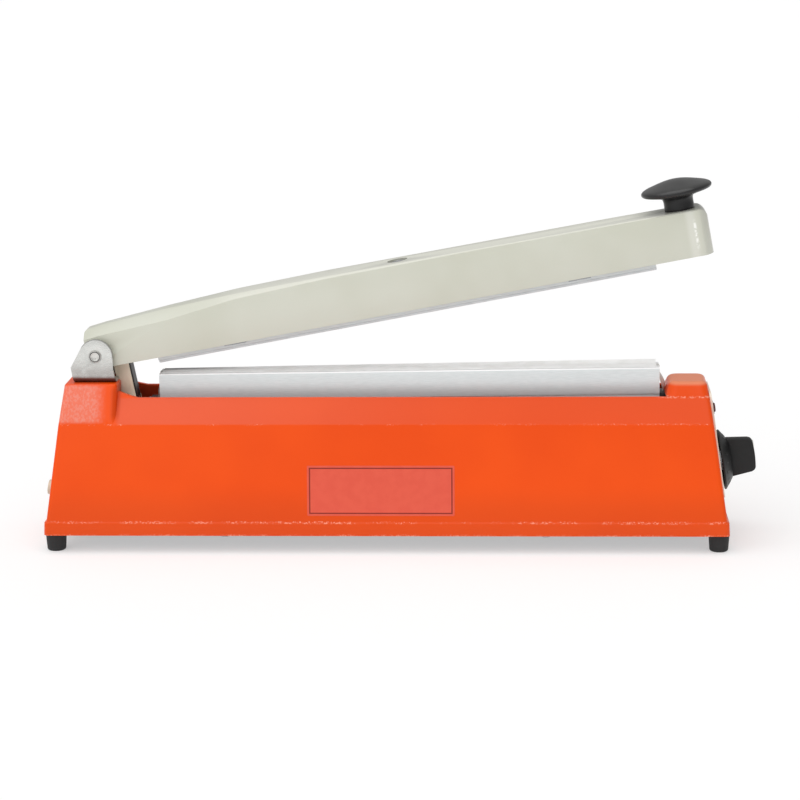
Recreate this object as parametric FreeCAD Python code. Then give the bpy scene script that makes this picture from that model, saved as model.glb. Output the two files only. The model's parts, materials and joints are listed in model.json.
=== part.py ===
"""Hand impulse sealer with a 300 mm class sealing bar, in millimetres.

+X runs along the bar towards the timer knob, +Y is away from the operator and +Z is up.
The origin lies on the bench, under the middle of the whole machine. The arm is modelled
open, as its spring holds it.
"""
import FreeCAD, Part
import math
import os

Vector = FreeCAD.Vector
X_AXIS = Vector(1, 0, 0)
Y_AXIS = Vector(0, 1, 0)
Z_AXIS = Vector(0, 0, 1)

# Base housing, a cast shell
base_centre_x = -7.3
base_width = 80.0
flange_reach = 1.6
flange_side_reach = 1.0
flange_top_z = 20.2
flange_ledge = 0.8
bend_z = 80.2
bend_width = 64.0
rim_z = 95.1
rim_width = 43.0
shoulder_z = 104.2
end_draft = 8.2
corner_radius = 3.0
wall = 2.5
left_shoulder_length = 45.0
left_shoulder_top_width = 46.0
left_shoulder_edge_radius = 1.6
right_shoulder_z = 103.2
right_shoulder_length = 37.6
right_shoulder_lean = 2.8
right_shoulder_top_width = 26.0
right_shoulder_crown = 4.2
right_shoulder_corner = 6.0
trough_width = 38.0
rim_sweep_height = 3.8
rim_sweep_length = 12.5

# Feet, bottom plate and their screws
foot_height = 11.5
foot_top_radius = 6.6
foot_bottom_radius = 5.85
foot_inset_x = 6.2
foot_inset_y = 10.0
plate_thickness = 1.2
plate_gap = 0.3
boss_radius = 4.6
boss_height = 17.0
boss_hole_depth = 13.0
boss_screw_depth = 11.0
bracket_boss_height = 12.0
bracket_hole_depth = 10.0
bracket_screw_depth = 8.0
plate_boss_spacing = 200.0
plate_boss_inset = 7.2

# Screws: thread radius, head radius, head height
small_screw = (1.5, 2.8, 1.8)
medium_screw = (2.0, 3.7, 2.3)
large_screw = (2.5, 4.4, 2.8)
screw_clearance = 0.3
screw_recess_depth = 0.9

# Hinge
pivot_inset = 31.45
pivot_z = 120.9
pin_radius = 3.0
pin_head_radius = 3.6
pin_head_height = 0.9
pin_dish_radius = 2.2
pin_dish_depth = 0.5
pin_running_gap = 0.05
bush_radius = 4.6
bracket_inside = 34.0
bracket_sheet = 2.0
bracket_bend_radius = 2.2
bracket_ear_radius = 10.5
bracket_ear_offset_x = 0.4
bracket_ear_offset_z = 0.3
bracket_left_lean_x = -15.6
bracket_left_lean_z = -7.0
bracket_left_foot_x = -14.2
bracket_right_foot_x = 12.4
bracket_screw_back = 8.0
bracket_screw_spacing = 17.0
washer_radius = 6.6
side_running_gap = 0.3

# Jaw: how the arm and the bar meet
bar_tilt = 0.65
close_travel = 9.9
pad_drop = 12.8
closed_gap = 0.3

# Sealing bar and what lies on it
bar_start = 38.0
bar_length = 312.5
bar_end_gap = 3.65
bar_width = 18.0
bar_height = 24.0
bar_edge_radius = 0.9
bar_slot_width = 7.0
bar_slot_depth = 3.0
bar_groove_height = 3.0
bar_groove_depth = 1.2
bar_groove_drop = 16.5
base_tape_thickness = 0.2
base_tape_width = 14.0
element_thickness = 0.2
element_width = 3.0
cover_thickness = 0.2
cloth_end_margin = 1.6
element_tail_gap = 0.6
element_tail_drop = 16.5
element_tail_lean = 1.6
terminal_length = 7.0
terminal_width = 14.0
terminal_height = 8.0
terminal_screw_drop = 2.6
terminal_screw_depth = 6.0
screw_end_gap = 1.0
bar_screw_depth = 8.0
bar_screw_end_gap = 2.0
stand_insets = (22.0, 20.5)
stand_length = 14.0
stand_width = 15.0
crossbar_top_z = 77.5
crossbar_height = 7.0
crossbar_length = 14.0

# Arm, in its own frame: along the arm from the pivot, and up from the pivot
arm_rear = -5.8
nose_overhang = 37.5
arm_lower_edge = -8.7
arm_wall = 2.3
arm_rear_radius = 6.0
arm_rear_top_radius = 1.8
nose_top_radius = 6.0
nose_plan_radius = 9.0
rear_stations = (
    # along, top height, crease height, half width of the flat top, half width
    (-8.0, 15.3, 10.6, 5.2, 14.2),
    (6.0, 16.9, 11.8, 5.4, 14.3),
    (48.0, 19.6, 13.6, 6.6, 14.8),
    (93.0, 21.3, 18.6, 10.6, 15.0),
    (150.0, 21.7, 20.4, 12.8, 15.0),
    (237.0, 21.3, 20.6, 13.8, 15.0),
)
nose_stations = (
    # back from the nose, then as above
    (60.0, 20.5, 19.9, 14.1, 15.0),
    (0.0, 19.8, 19.2, 14.1, 15.0),
)
arm_screw_offset = 1.25
arm_recess_radius = 6.4
arm_recess_depth = 3.2
arm_boss_radius = 8.4
arm_boss_floor = 5.0
cheek_length = 16.0
roof_rib_positions = (140.0, 250.0)
nose_rib_inset = 48.0
roof_rib_thickness = 2.0
roof_rib_depth = 6.0
tongue_boss_margin = 5.0
tongue_boss_width = 14.0
knob_boss_depth = 9.0

# Tongue under the arm's rear
tongue_front = 17.0
tongue_rear_top = 7.4
tongue_rear = 14.0
tongue_calf = -27.5
tongue_ankle = -33.5
tongue_foot = -54.0
tongue_width = 10.4
tongue_foot_width = 24.0
tongue_foot_thickness = 2.6
tongue_foot_rear = 7.5
tongue_notch_width = 14.6
tongue_top = 4.0
tongue_flange_end = 44.0
tongue_flange_thickness = 2.4
striker_thickness = 1.0
striker_top = -2.0
striker_rivet_heights = (-34.0, -46.0)
tongue_screw_along = (24.0, 33.5)
tongue_screw_depth = 7.0

# Pad under the arm
holder_overhang_left = 0.7
holder_overhang_right = 1.4
holder_width = 23.2
holder_back = 1.0
holder_lip = 1.8
pad_width = 14.0
pad_depth = 5.0
pad_lip_width = 11.0
pad_sole_width = 21.0
pad_lip_height = 1.4
holder_web = 2.4
clip_insets = (49.0, 46.0)
clip_length = 14.0
clip_sheet = 0.8
clip_reach = 3.2

# Press knob
knob_inset = 15.6
stem_radius = 9.5
cap_radius = 21.9
cap_low = 30.8
cap_edge_height = 3.7
knob_top = 39.5
knob_screw_length = 18.0

# Stop, return spring and switch
stop_thickness = 3.2
stop_height = 9.0
stop_width = 16.0
stop_bar_length = 8.0
rear_crossbar_top_z = 43.0
rear_crossbar_back = 9.55
rear_crossbar_length = 40.0
spring_radius = 2.7
spring_wire_radius = 0.5
spring_turns = 6
spring_spacing = 19.0
seat_radius = 4.2
seat_thickness = 1.4
seat_stub_height = 3.0
switch_face_out = 12.05
switch_depth = 15.9
switch_height = 27.8
switch_width = 10.3
switch_low_z = 57.0
switch_hole_spacing = 22.2
lever_offset = 1.3
lever_pivot_z = 60.5
lever_length = 22.0
lever_sheet = 0.8
lever_width = 4.4
lever_barrel_radius = 1.0
lever_pin_radius = 0.45
lever_gap = 0.4
button_height = 5.0
button_size = 2.4
button_slot_gap = 0.3
button_reach = 4.0
switch_bracket_sheet = 1.5
switch_bracket_foot = 14.0
switch_bracket_screw_out = 8.0
switch_bracket_screw_length = 7.5

# Right end: dial plate, timer and lamp
dial_z = 50.0
dial_plate_width = 38.0
dial_plate_low = -20.5
dial_plate_high = 47.5
dial_plate_thickness = 1.4
dial_plate_corner = 3.5
dial_knob_gap = 1.2
skirt_radius = 18.9
skirt_rim = 1.2
skirt_height = 6.0
grip_base_radius = 12.6
grip_tip_radius = 10.9
knob_length = 21.4
grip_bar_width = 9.5
grip_rise = 1.0
grip_edge_radius = 2.0
skirt_wall = 2.0
skirt_hollow = 2.0
shaft_hold = 8.0
pot_shaft_radius = 3.0
pot_bushing_radius = 4.5
pot_body_radius = 8.5
pot_body_depth = 9.5
pot_nut_size = 12.0
pot_nut_height = 1.6
pointer_width = 1.6
pointer_depth = 0.5
lamp_up = 33.9
lamp_radius = 4.2
lamp_hole_radius = 3.2
lamp_lens_radius = 3.0
lamp_collar_height = 1.0
lamp_lens_height = 1.1
lamp_body_length = 14.0

# Left end: cord gland
gland_z = 31.5
gland_bore_radius = 3.3
gland_neck_radius = 5.2
gland_collar_radius = 7.0
gland_collar_height = 2.2
gland_tip_radius = 4.6
gland_reach = 7.0
gland_tail = 6.0

# Transformer and timer board
core_length = 66.0
core_height = 50.0
core_depth = 28.0
core_offset = -32.7
window_width = 11.0
window_height = 28.0
coil_overhang = 8.0
strap_thickness = 1.2
strap_foot = 12.0
strap_edge = 3.0
transformer_screw_end = 3.0
board_screw_end = 2.0
board_length = 70.0
board_width = 46.0
board_thickness = 1.6
board_inset = 76.3
standoff_height = 9.0
standoff_radius = 3.0
standoff_inset = 5.0
relay_size = (19.0, 15.5, 15.0)
capacitor_radius = 5.0
capacitor_height = 16.0
capacitor_offset_x = 4.0
capacitor_y = 8.0

# Derived places
base_length = pivot_inset + bar_start + bar_length + bar_end_gap + right_shoulder_length
base_left_x = base_centre_x - base_length / 2
base_right_x = base_centre_x + base_length / 2
left_shoulder_face_x = base_left_x + left_shoulder_length
right_shoulder_face_x = base_right_x - right_shoulder_length
pivot_x = base_left_x + pivot_inset
open_angle = bar_tilt + close_travel
stack_thickness = base_tape_thickness + element_thickness + cover_thickness
bar_top = -(pad_drop + closed_gap + stack_thickness)
bar_bottom = bar_top - bar_height
bar_end = bar_start + bar_length
bar_middle = bar_start + bar_length / 2
stand_positions = (bar_start + stand_insets[0], bar_end - stand_insets[1])
arm_nose = bar_end + nose_overhang
arm_stations = rear_stations + tuple((arm_nose - back, *sizes) for back, *sizes in nose_stations)
arm_screw_along = bar_middle + arm_screw_offset
knob_along = arm_nose - knob_inset
holder_start = bar_start - holder_overhang_left
holder_end = bar_end + holder_overhang_right
clip_positions = (bar_start + clip_insets[0], bar_end - clip_insets[1])
switch_face_x = pivot_x + switch_face_out
core_x = base_centre_x + core_offset
board_x = base_right_x - board_inset
plate_top_z = foot_height + plate_thickness
bracket_top_z = shoulder_z + bracket_sheet
half_base = base_length / 2
tan_draft = math.tan(math.radians(end_draft))
cos_draft = math.cos(math.radians(end_draft))
sin_draft = math.sin(math.radians(end_draft))
slot_half_width = tongue_width / 2 + 1.6
slot_back_x = pivot_x + tongue_rear_top - 1.0


def box(x_range, y_range, z_range):
    """Block between two values on each axis."""
    size = [high - low for low, high in (x_range, y_range, z_range)]
    return Part.makeBox(size[0], size[1], size[2], Vector(x_range[0], y_range[0], z_range[0]))


def rod(radius, start, direction, length):
    """Cylinder from a point along a direction."""
    return Part.makeCylinder(radius, length, Vector(*start), direction)


def outline_y(points, half_width):
    """Closed outline drawn in X and Z, thick by half_width to each side of Y = 0."""
    corners = [Vector(x, -half_width, z) for x, z in points]
    face = Part.Face(Part.makePolygon(corners + corners[:1]))
    return face.extrude(Vector(0, 2 * half_width, 0))


def fuse(first, *others):
    """One solid from several that touch."""
    return first.fuse(list(others)).removeSplitter()


def rounded_rectangle(x_low, x_high, half_width, radius, z):
    """Closed wire at one height, with its four corners rounded."""
    base = Part.makePlane(x_high - x_low, 2 * half_width, Vector(x_low, -half_width, z))
    block = base.extrude(Vector(0, 0, 1))
    upright = [edge for edge in block.Edges if is_upright(edge)]
    rounded = block.makeFillet(radius, upright)
    bottom = min(rounded.Faces, key=lambda face: face.CenterOfMass.z)
    return bottom.OuterWire


def is_upright(edge):
    """True for a straight edge that stands along Z."""
    ends = edge.Vertexes
    return len(ends) == 2 and abs(ends[0].X - ends[1].X) + abs(ends[0].Y - ends[1].Y) < 1e-6


def loft(wires):
    """Solid with straight sides through closed wires."""
    return Part.makeLoft(wires, True, True)


def polygon_x(along, half_section):
    """Closed wire across the arm, mirrored about Y = 0, from points of Y and Z."""
    right = [Vector(along, y, z) for y, z in half_section]
    left = [Vector(along, -y, z) for y, z in reversed(half_section)]
    return Part.makePolygon(right + left + right[:1])


def turned(shape, angle):
    """Arm or bar frame to machine frame: raised by an angle about the pivot."""
    moved = shape.copy()
    moved.rotate(Vector(0, 0, 0), Y_AXIS, -angle)
    moved.translate(Vector(pivot_x, 0, pivot_z))
    return moved


def on_arm(shape):
    """Arm frame to machine frame, with the jaw open."""
    return turned(shape, open_angle)


def on_bar(shape):
    """Bar frame to machine frame. The closed arm lies in the same frame."""
    return turned(shape, bar_tilt)


def arm_point(along, up, angle=open_angle):
    """Machine X and Z of a point of the arm, with the arm raised by an angle."""
    cosine = math.cos(math.radians(angle))
    sine = math.sin(math.radians(angle))
    return (pivot_x + along * cosine - up * sine, pivot_z + along * sine + up * cosine)


def end_x(side, z):
    """X of the housing's drafted end at a height: side is -1 left or 1 right."""
    return base_centre_x + side * (half_base - (z - flange_top_z) * tan_draft)


def panel_half_width(z):
    """Half width of the housing's lower panels at a height."""
    share = (z - flange_top_z) / (bend_z - flange_top_z)
    return base_width / 2 + share * (bend_width - base_width) / 2


def on_right_end(shape):
    """Frame of the right end to machine frame: X outwards, Z up the drafted face."""
    moved = shape.copy()
    moved.rotate(Vector(0, 0, 0), Y_AXIS, -end_draft)
    moved.translate(Vector(end_x(1, dial_z), 0, dial_z))
    return moved


def screw(size, seat, direction, length):
    """Pan head screw: the head's underside at seat, the thread along direction."""
    radius, head_radius, head_height = size
    back = direction * -head_height
    start = Vector(*seat)
    head = Part.makeCylinder(head_radius, head_height, start + back, direction)
    head = head.makeFillet(head_height * 0.35, [edge_nearest(head, start + back * 1.0)])
    recess = Part.makeCylinder(radius * 0.55, screw_recess_depth, start + back, direction)
    thread = Part.makeCylinder(radius, length, start, direction)
    return fuse(head.cut(recess), thread)


def edge_nearest(shape, point):
    """The round edge whose middle is nearest to a point."""
    rounds = [edge for edge in shape.Edges if hasattr(edge.Curve, "Radius")]
    return min(rounds, key=lambda edge: (edge.Curve.Center - point).Length)


def housing_blocks(inset):
    """Outer form of the housing, or its inside where inset is the wall."""
    side = inset / math.cos(math.atan((base_width - bend_width) / 2 / (bend_z - flange_top_z)))
    ends = inset / cos_draft
    radius = max(corner_radius - inset, 0.8)
    bend = bend_z - 0.35 * inset
    rim_lean = math.atan((bend_width - rim_width) / 2 / (rim_z - bend_z))
    band = inset / math.cos(rim_lean)

    def ring(z, half_width, left=None, right=None, corner=radius):
        low = end_x(-1, z) + ends if left is None else left
        high = end_x(1, z) - ends if right is None else right
        return rounded_rectangle(low, high, half_width, corner, z)

    bend_half = panel_half_width(bend) - side
    panel_low = foot_height - 1.0 if inset else flange_top_z
    panel = loft([ring(panel_low, panel_half_width(panel_low) - side), ring(bend, bend_half)])
    band_block = loft([ring(bend, bend_half), ring(rim_z, rim_width / 2 - band)])

    top = shoulder_z - inset
    left_lean = (bend_width - left_shoulder_top_width) / 2 / (shoulder_z - bend_z)
    left_half = left_shoulder_top_width / 2 + left_lean * inset - inset * 1.07 * bool(inset)
    left_face = left_shoulder_face_x - inset
    left = loft([ring(bend, bend_half, right=left_face), ring(top, left_half, right=left_face)])

    right_top_z = right_shoulder_z - inset
    right_face = right_shoulder_face_x + inset
    right_lean = right_shoulder_lean * bool(not inset)
    right_top_half = right_shoulder_top_width / 2 - 0.4 * inset
    corner = right_shoulder_corner - inset
    right = loft([
        ring(rim_z - 0.2 - 2 * inset, rim_width / 2 - 1.6 * inset, left=right_face, corner=corner),
        ring(right_top_z, right_top_half, left=right_face + right_lean, corner=corner),
    ])
    if inset:
        return [panel, band_block, left, right]
    left_top = [e for e in left.Edges if min(v.Z for v in e.Vertexes) > top - 0.01]
    left = left.makeFillet(left_shoulder_edge_radius, left_top)
    right_top = [e for e in right.Edges if min(v.Z for v in e.Vertexes) > right_top_z - 0.01]
    right = right.makeFillet(right_shoulder_crown, right_top)
    ledge_z = flange_top_z - flange_ledge
    flange = loft([
        flange_ring(foot_height, 1.0),
        flange_ring(ledge_z, 0.75),
        flange_ring(flange_top_z, 0.0),
    ])
    return [flange, panel, band_block, left, right]


def flange_ring(z, share):
    """Outline of the flange at a height, standing out by a share of its reach."""
    reach = flange_reach * share
    half_width = base_width / 2 + flange_side_reach * share
    low = base_centre_x - half_base - reach
    high = base_centre_x + half_base + reach
    return rounded_rectangle(low, high, half_width, corner_radius, z)


def foot_places():
    """Middle of each foot, from the flange's corners."""
    reach = half_base + flange_reach - foot_inset_x
    half_width = base_width / 2 + flange_side_reach - foot_inset_y
    ends = (("left", base_centre_x - reach), ("right", base_centre_x + reach))
    sides = (("front", -half_width), ("rear", half_width))
    return {f"{side}_{end}": (x, y) for side, y in sides for end, x in ends}


def plate_screw_places():
    """Middle of each screw along the bottom plate's long sides."""
    half_width = base_width / 2 - plate_boss_inset
    half = plate_boss_spacing / 2
    return [(base_centre_x + x, y) for x in (-half, half) for y in (-half_width, half_width)]


def bracket_screw_places():
    """The hinge bracket's two screws, behind the pivot."""
    half = bracket_screw_spacing / 2
    return [(pivot_x - bracket_screw_back, y) for y in (-half, half)]


def stand_x(along):
    """Machine X of a stand under the bar."""
    return arm_point(along, bar_bottom, bar_tilt)[0]


def rim_sweep():
    """Concave sweep of the rim up to the left shoulder, on both sides of the trough."""
    x = left_shoulder_face_x
    low = Vector(x + rim_sweep_length, 0, rim_z)
    high = Vector(x, 0, rim_z + rim_sweep_height)
    middle = Vector(x + 0.5 * rim_sweep_length, 0, rim_z + 0.42 * rim_sweep_height)
    back_low = Vector(x - wall, 0, rim_z - wall)
    back_high = Vector(x - wall, 0, rim_z + rim_sweep_height)
    front_low = Vector(x + rim_sweep_length, 0, rim_z - wall)
    edges = [Part.Arc(low, middle, high).toShape()]
    for start, end in ((high, back_high), (back_high, back_low), (back_low, front_low), (front_low, low)):
        edges.append(Part.LineSegment(start, end).toShape())
    face = Part.Face(Part.Wire(edges))
    face.translate(Vector(0, -rim_width, 0))
    side_view = face.extrude(Vector(0, 2 * rim_width, 0))
    slope = (bend_width - rim_width) / 2 / (rim_z - bend_z)
    low_z = rim_z - wall
    high_z = rim_z + rim_sweep_height + 1.0
    outer_low = rim_width / 2 + slope * wall
    outer_high = rim_width / 2 - slope * (high_z - rim_z)
    thickness = wall / math.cos(math.atan(slope))
    sides = []
    for sign in (-1, 1):
        corners = [
            Vector(x - wall, sign * outer_low, low_z),
            Vector(x - wall, sign * outer_high, high_z),
            Vector(x - wall, sign * (outer_high - thickness), high_z),
            Vector(x - wall, sign * (outer_low - thickness), low_z),
        ]
        section = Part.Face(Part.makePolygon(corners + corners[:1]))
        lean = section.extrude(Vector(wall + rim_sweep_length + 1.0, 0, 0))
        sides.append(lean.common(side_view))
    return sides


def base_housing():
    """Cast shell, open below, with a trough along its top between two shoulders."""
    outer_blocks = housing_blocks(0.0)
    outer = fuse(*outer_blocks)
    shell = outer
    for block in housing_blocks(wall):
        shell = shell.cut(block)
    trough = box(
        (left_shoulder_face_x - 0.01, right_shoulder_face_x),
        (-trough_width / 2, trough_width / 2),
        (bend_z, shoulder_z),
    )
    slot = box(
        (slot_back_x, left_shoulder_face_x + wall),
        (-slot_half_width, slot_half_width),
        (bend_z, shoulder_z + wall),
    )
    shell = shell.cut(trough)
    shell = fuse(shell, *rim_sweep())
    shell = shell.cut(slot)

    additions = []
    for x, y in foot_places().values():
        additions.append(rod(boss_radius, (x, y, plate_top_z), Z_AXIS, boss_height))
    for x, y in plate_screw_places():
        additions.append(rod(boss_radius, (x, y, plate_top_z), Z_AXIS, boss_height))
    for x, y in bracket_screw_places():
        boss_low = shoulder_z - wall - bracket_boss_height
        additions.append(rod(boss_radius, (x, y, boss_low), Z_AXIS, bracket_boss_height + 1.0))
    low_z = crossbar_top_z - crossbar_height
    half_width = base_width / 2
    for along in stand_positions:
        x = stand_x(along)
        span = (x - crossbar_length / 2, x + crossbar_length / 2)
        additions.append(box(span, (-half_width, half_width), (low_z, crossbar_top_z)))
    stop_x = stop_face_x()
    stop_span = (stop_x, stop_x + stop_bar_length)
    additions.append(box(stop_span, (-half_width, half_width), (low_z - 2, crossbar_top_z)))
    rear_left_x = pivot_x - rear_crossbar_back
    rear_span = (rear_left_x, rear_left_x + rear_crossbar_length)
    rear_low = rear_crossbar_top_z - crossbar_height
    additions.append(box(rear_span, (-half_width, half_width), (rear_low, rear_crossbar_top_z)))
    inside = [piece.common(outer) for piece in additions]
    shell = fuse(shell, *inside)

    for x, y in list(foot_places().values()) + plate_screw_places():
        shell = shell.cut(rod(medium_screw[0], (x, y, plate_top_z), Z_AXIS, boss_hole_depth))
    for x, y in bracket_screw_places():
        hole_low = (x, y, shoulder_z - bracket_hole_depth)
        shell = shell.cut(rod(medium_screw[0], hole_low, Z_AXIS, bracket_hole_depth + 1.0))
    for along in stand_positions:
        hole_radius = medium_screw[0] + screw_clearance
        shell = shell.cut(rod(hole_radius, (stand_x(along), 0, low_z - 1), Z_AXIS, crossbar_height + 2))
    x, y = switch_bracket_screw_place()
    shell = shell.cut(rod(small_screw[0], (x, y, rear_low - 1), Z_AXIS, crossbar_height + 2))
    shell = shell.cut(on_right_end(rod(pot_bushing_radius, (-3 * wall, 0, 0), X_AXIS, 6 * wall)))
    shell = shell.cut(on_right_end(rod(lamp_hole_radius, (-3 * wall, 0, lamp_up), X_AXIS, 6 * wall)))
    shell = shell.cut(on_left_end(rod(gland_neck_radius, (-3 * wall, 0, 0), X_AXIS, 6 * wall)))
    return shell


def on_left_end(shape):
    """Frame of the cord gland to machine frame: X outwards from the left end."""
    moved = shape.copy()
    moved.rotate(Vector(0, 0, 0), Z_AXIS, 180)
    moved.rotate(Vector(0, 0, 0), Y_AXIS, end_draft)
    moved.translate(Vector(end_x(-1, gland_z), 0, gland_z))
    return moved


def bottom_plate():
    """Sheet that closes the housing from below, with its screw holes."""
    half_length = half_base - wall / cos_draft + (flange_top_z - foot_height) * tan_draft - plate_gap
    half_width = panel_half_width(plate_top_z) - wall * 1.01 - plate_gap
    low = base_centre_x - half_length + 0.2
    high = base_centre_x + half_length - 0.2
    ring = rounded_rectangle(low, high, half_width, 1.0, foot_height)
    plate = Part.Face(ring).extrude(Vector(0, 0, plate_thickness))
    radius = medium_screw[0] + screw_clearance
    places = list(foot_places().values()) + plate_screw_places()
    for x, y in places:
        plate = plate.cut(rod(radius, (x, y, foot_height - 1), Z_AXIS, plate_thickness + 2))
    for x, y in transformer_screw_places() + board_screw_places():
        hole_radius = small_screw[0] + screw_clearance
        plate = plate.cut(rod(hole_radius, (x, y, foot_height - 1), Z_AXIS, plate_thickness + 2))
    return plate


def foot(x, y):
    """Rubber foot with a deep seat for its screw."""
    profile = [
        (medium_screw[0] + screw_clearance, foot_height),
        (foot_top_radius, foot_height),
        (foot_bottom_radius, 0.8),
        (foot_bottom_radius - 0.8, 0.0),
        (medium_screw[1] + screw_clearance, 0.0),
        (medium_screw[1] + screw_clearance, foot_height / 2),
        (medium_screw[0] + screw_clearance, foot_height / 2),
    ]
    return revolved_z(profile, x, y)


def revolved_z(profile, x=0.0, y=0.0, z=0.0):
    """Ring turned about an upright axis from points of radius and height."""
    corners = [Vector(r, 0, h) for r, h in profile]
    face = Part.Face(Part.makePolygon(corners + corners[:1]))
    solid = face.revolve(Vector(0, 0, 0), Z_AXIS, 360)
    solid.translate(Vector(x, y, z))
    return solid


def revolved_x(profile):
    """Solid turned about X from points of distance along X and radius."""
    corners = [Vector(u, 0, r) for u, r in profile]
    face = Part.Face(Part.makePolygon(corners + corners[:1]))
    return face.revolve(Vector(0, 0, 0), X_AXIS, 360)


def foot_screws():
    """Screws up through the feet and the bottom plate into the corner bosses."""
    length = foot_height / 2 + plate_thickness + boss_screw_depth
    seat_z = foot_height / 2
    return [screw(medium_screw, (x, y, seat_z), Z_AXIS, length) for x, y in foot_places().values()]


def bottom_plate_screws():
    """Screws up through the bottom plate into the side bosses."""
    length = plate_thickness + boss_screw_depth
    return [screw(medium_screw, (x, y, foot_height), Z_AXIS, length) for x, y in plate_screw_places()]


def hinge_bracket():
    """Bent sheet bracket: a base on the left shoulder and two ears for the pin."""
    inside = bracket_inside / 2
    outside = inside + bracket_sheet
    low_x = pivot_x - 2 * bracket_ear_radius
    high_x = pivot_x + 2 * bracket_ear_radius
    top_z = pivot_z + 2 * bracket_ear_radius
    outer = box((low_x, high_x), (-outside, outside), (shoulder_z, top_z))
    inner = box((low_x, high_x), (-inside, inside), (bracket_top_z, top_z))
    outer_bends = [e for e in outer.Edges if is_long_low(e, shoulder_z, outside)]
    inner_bends = [e for e in inner.Edges if is_long_low(e, bracket_top_z, inside)]
    outer = outer.makeFillet(bracket_bend_radius + bracket_sheet, outer_bends)
    inner = inner.makeFillet(bracket_bend_radius, inner_bends)
    channel = outer.cut(inner)
    bracket = channel.common(ear_outline(outside))
    notch_z = (shoulder_z - 1, bracket_top_z + 1)
    notch = box((slot_back_x, high_x), (-slot_half_width, slot_half_width), notch_z)
    bracket = bracket.cut(notch)
    pin_hole = rod(pin_radius, (pivot_x, -outside - 1, pivot_z), Y_AXIS, 2 * outside + 2)
    bracket = bracket.cut(pin_hole)
    for x, y in bracket_screw_places():
        hole = rod(medium_screw[0] + screw_clearance, (x, y, shoulder_z - 1), Z_AXIS, bracket_sheet + 2)
        bracket = bracket.cut(hole)
    return bracket


def is_long_low(edge, z, y):
    """True for an edge along X at one height and one distance to the side."""
    middle = edge.CenterOfMass
    along_x = abs(edge.Vertexes[0].X - edge.Vertexes[-1].X) > 1.0
    return along_x and abs(middle.z - z) < 1e-6 and abs(abs(middle.y) - y) < 1e-6


def ear_outline(half_width):
    """Side view of the bracket: round over the pin, leaning back on the left."""
    radius = bracket_ear_radius
    middle_x = pivot_x + bracket_ear_offset_x
    middle_z = pivot_z + bracket_ear_offset_z
    left_x = pivot_x + bracket_left_lean_x
    left_z = pivot_z + bracket_left_lean_z
    reach = math.hypot(left_x - middle_x, left_z - middle_z)
    toward = math.atan2(left_z - middle_z, left_x - middle_x)
    tangent = toward - math.acos(radius / reach)

    def on_round(angle):
        x = middle_x + radius * math.cos(angle)
        z = middle_z + radius * math.sin(angle)
        return Vector(x, -half_width, z)

    touch = on_round(tangent)
    right = on_round(0.0)
    crown = on_round((tangent + 2 * math.pi * (tangent < 0)) / 2)
    low_left = Vector(pivot_x + bracket_left_foot_x, -half_width, shoulder_z)
    low_right = Vector(pivot_x + bracket_right_foot_x, -half_width, shoulder_z)
    lean = Vector(left_x, -half_width, left_z)
    right_low = Vector(middle_x + radius, -half_width, pivot_z - radius * 0.8)
    edges = [
        Part.Arc(right, crown, touch).toShape(),
        Part.LineSegment(touch, lean).toShape(),
        Part.LineSegment(lean, low_left).toShape(),
        Part.LineSegment(low_left, low_right).toShape(),
        Part.LineSegment(low_right, right_low).toShape(),
        Part.LineSegment(right_low, right).toShape(),
    ]
    return Part.Face(Part.Wire(edges)).extrude(Vector(0, 2 * half_width, 0))


def bracket_screws():
    """Screws down through the bracket's base into the left shoulder."""
    down = Vector(0, 0, -1)
    length = bracket_sheet + bracket_screw_depth
    return [screw(medium_screw, (x, y, bracket_top_z), down, length) for x, y in bracket_screw_places()]


def hinge_pin():
    """Riveted pin with a dished head at each end."""
    reach = bracket_inside / 2 + bracket_sheet
    pin = rod(pin_radius, (pivot_x, -reach, pivot_z), Y_AXIS, 2 * reach)
    for side in (-1, 1):
        outward = Vector(0, side, 0)
        head = rod(pin_head_radius, (pivot_x, side * reach, pivot_z), outward, pin_head_height)
        dish_y = side * (reach + pin_head_height - pin_dish_depth)
        dish = rod(pin_dish_radius, (pivot_x, dish_y, pivot_z), outward, pin_head_height)
        pin = fuse(pin, head.cut(dish))
    return pin


def hinge_washers():
    """Plain washers on the pin, between the arm and the bracket's ears."""
    outer_y = bracket_inside / 2
    inner_y = arm_half_width_at(0.0) + side_running_gap
    washers = []
    for side in (-1, 1):
        outward = Vector(0, side, 0)
        disc = rod(washer_radius, (pivot_x, side * inner_y, pivot_z), outward, outer_y - inner_y)
        hole = rod(pin_radius, (pivot_x, side * (inner_y - 1), pivot_z), outward, outer_y)
        washers.append(disc.cut(hole))
    return washers


def arm_half_width_at(along):
    """Half width of the arm's side at a place, between two stations."""
    for first, second in zip(arm_stations, arm_stations[1:]):
        if first[0] <= along <= second[0]:
            share = (along - first[0]) / (second[0] - first[0])
            return first[4] + share * (second[4] - first[4])
    return arm_stations[-1][4]


def arm_top_at(along):
    """Height of the arm's top at a place, between two stations."""
    for first, second in zip(arm_stations, arm_stations[1:]):
        if first[0] <= along <= second[0]:
            share = (along - first[0]) / (second[0] - first[0])
            return first[1] + share * (second[1] - first[1])
    return arm_stations[-1][1]


def arm_form(inset):
    """Body of the arm through its stations, or its hollow where inset is the wall."""
    sections = []
    for along, top, crease, flat, half_width in arm_stations:
        low = arm_lower_edge - 1.0 if inset else arm_lower_edge
        section = [
            (half_width - inset, low),
            (half_width - inset, crease - inset),
            (flat - 0.9 * inset, top - inset),
        ]
        sections.append(polygon_x(along, section))
    return loft(sections)


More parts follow.
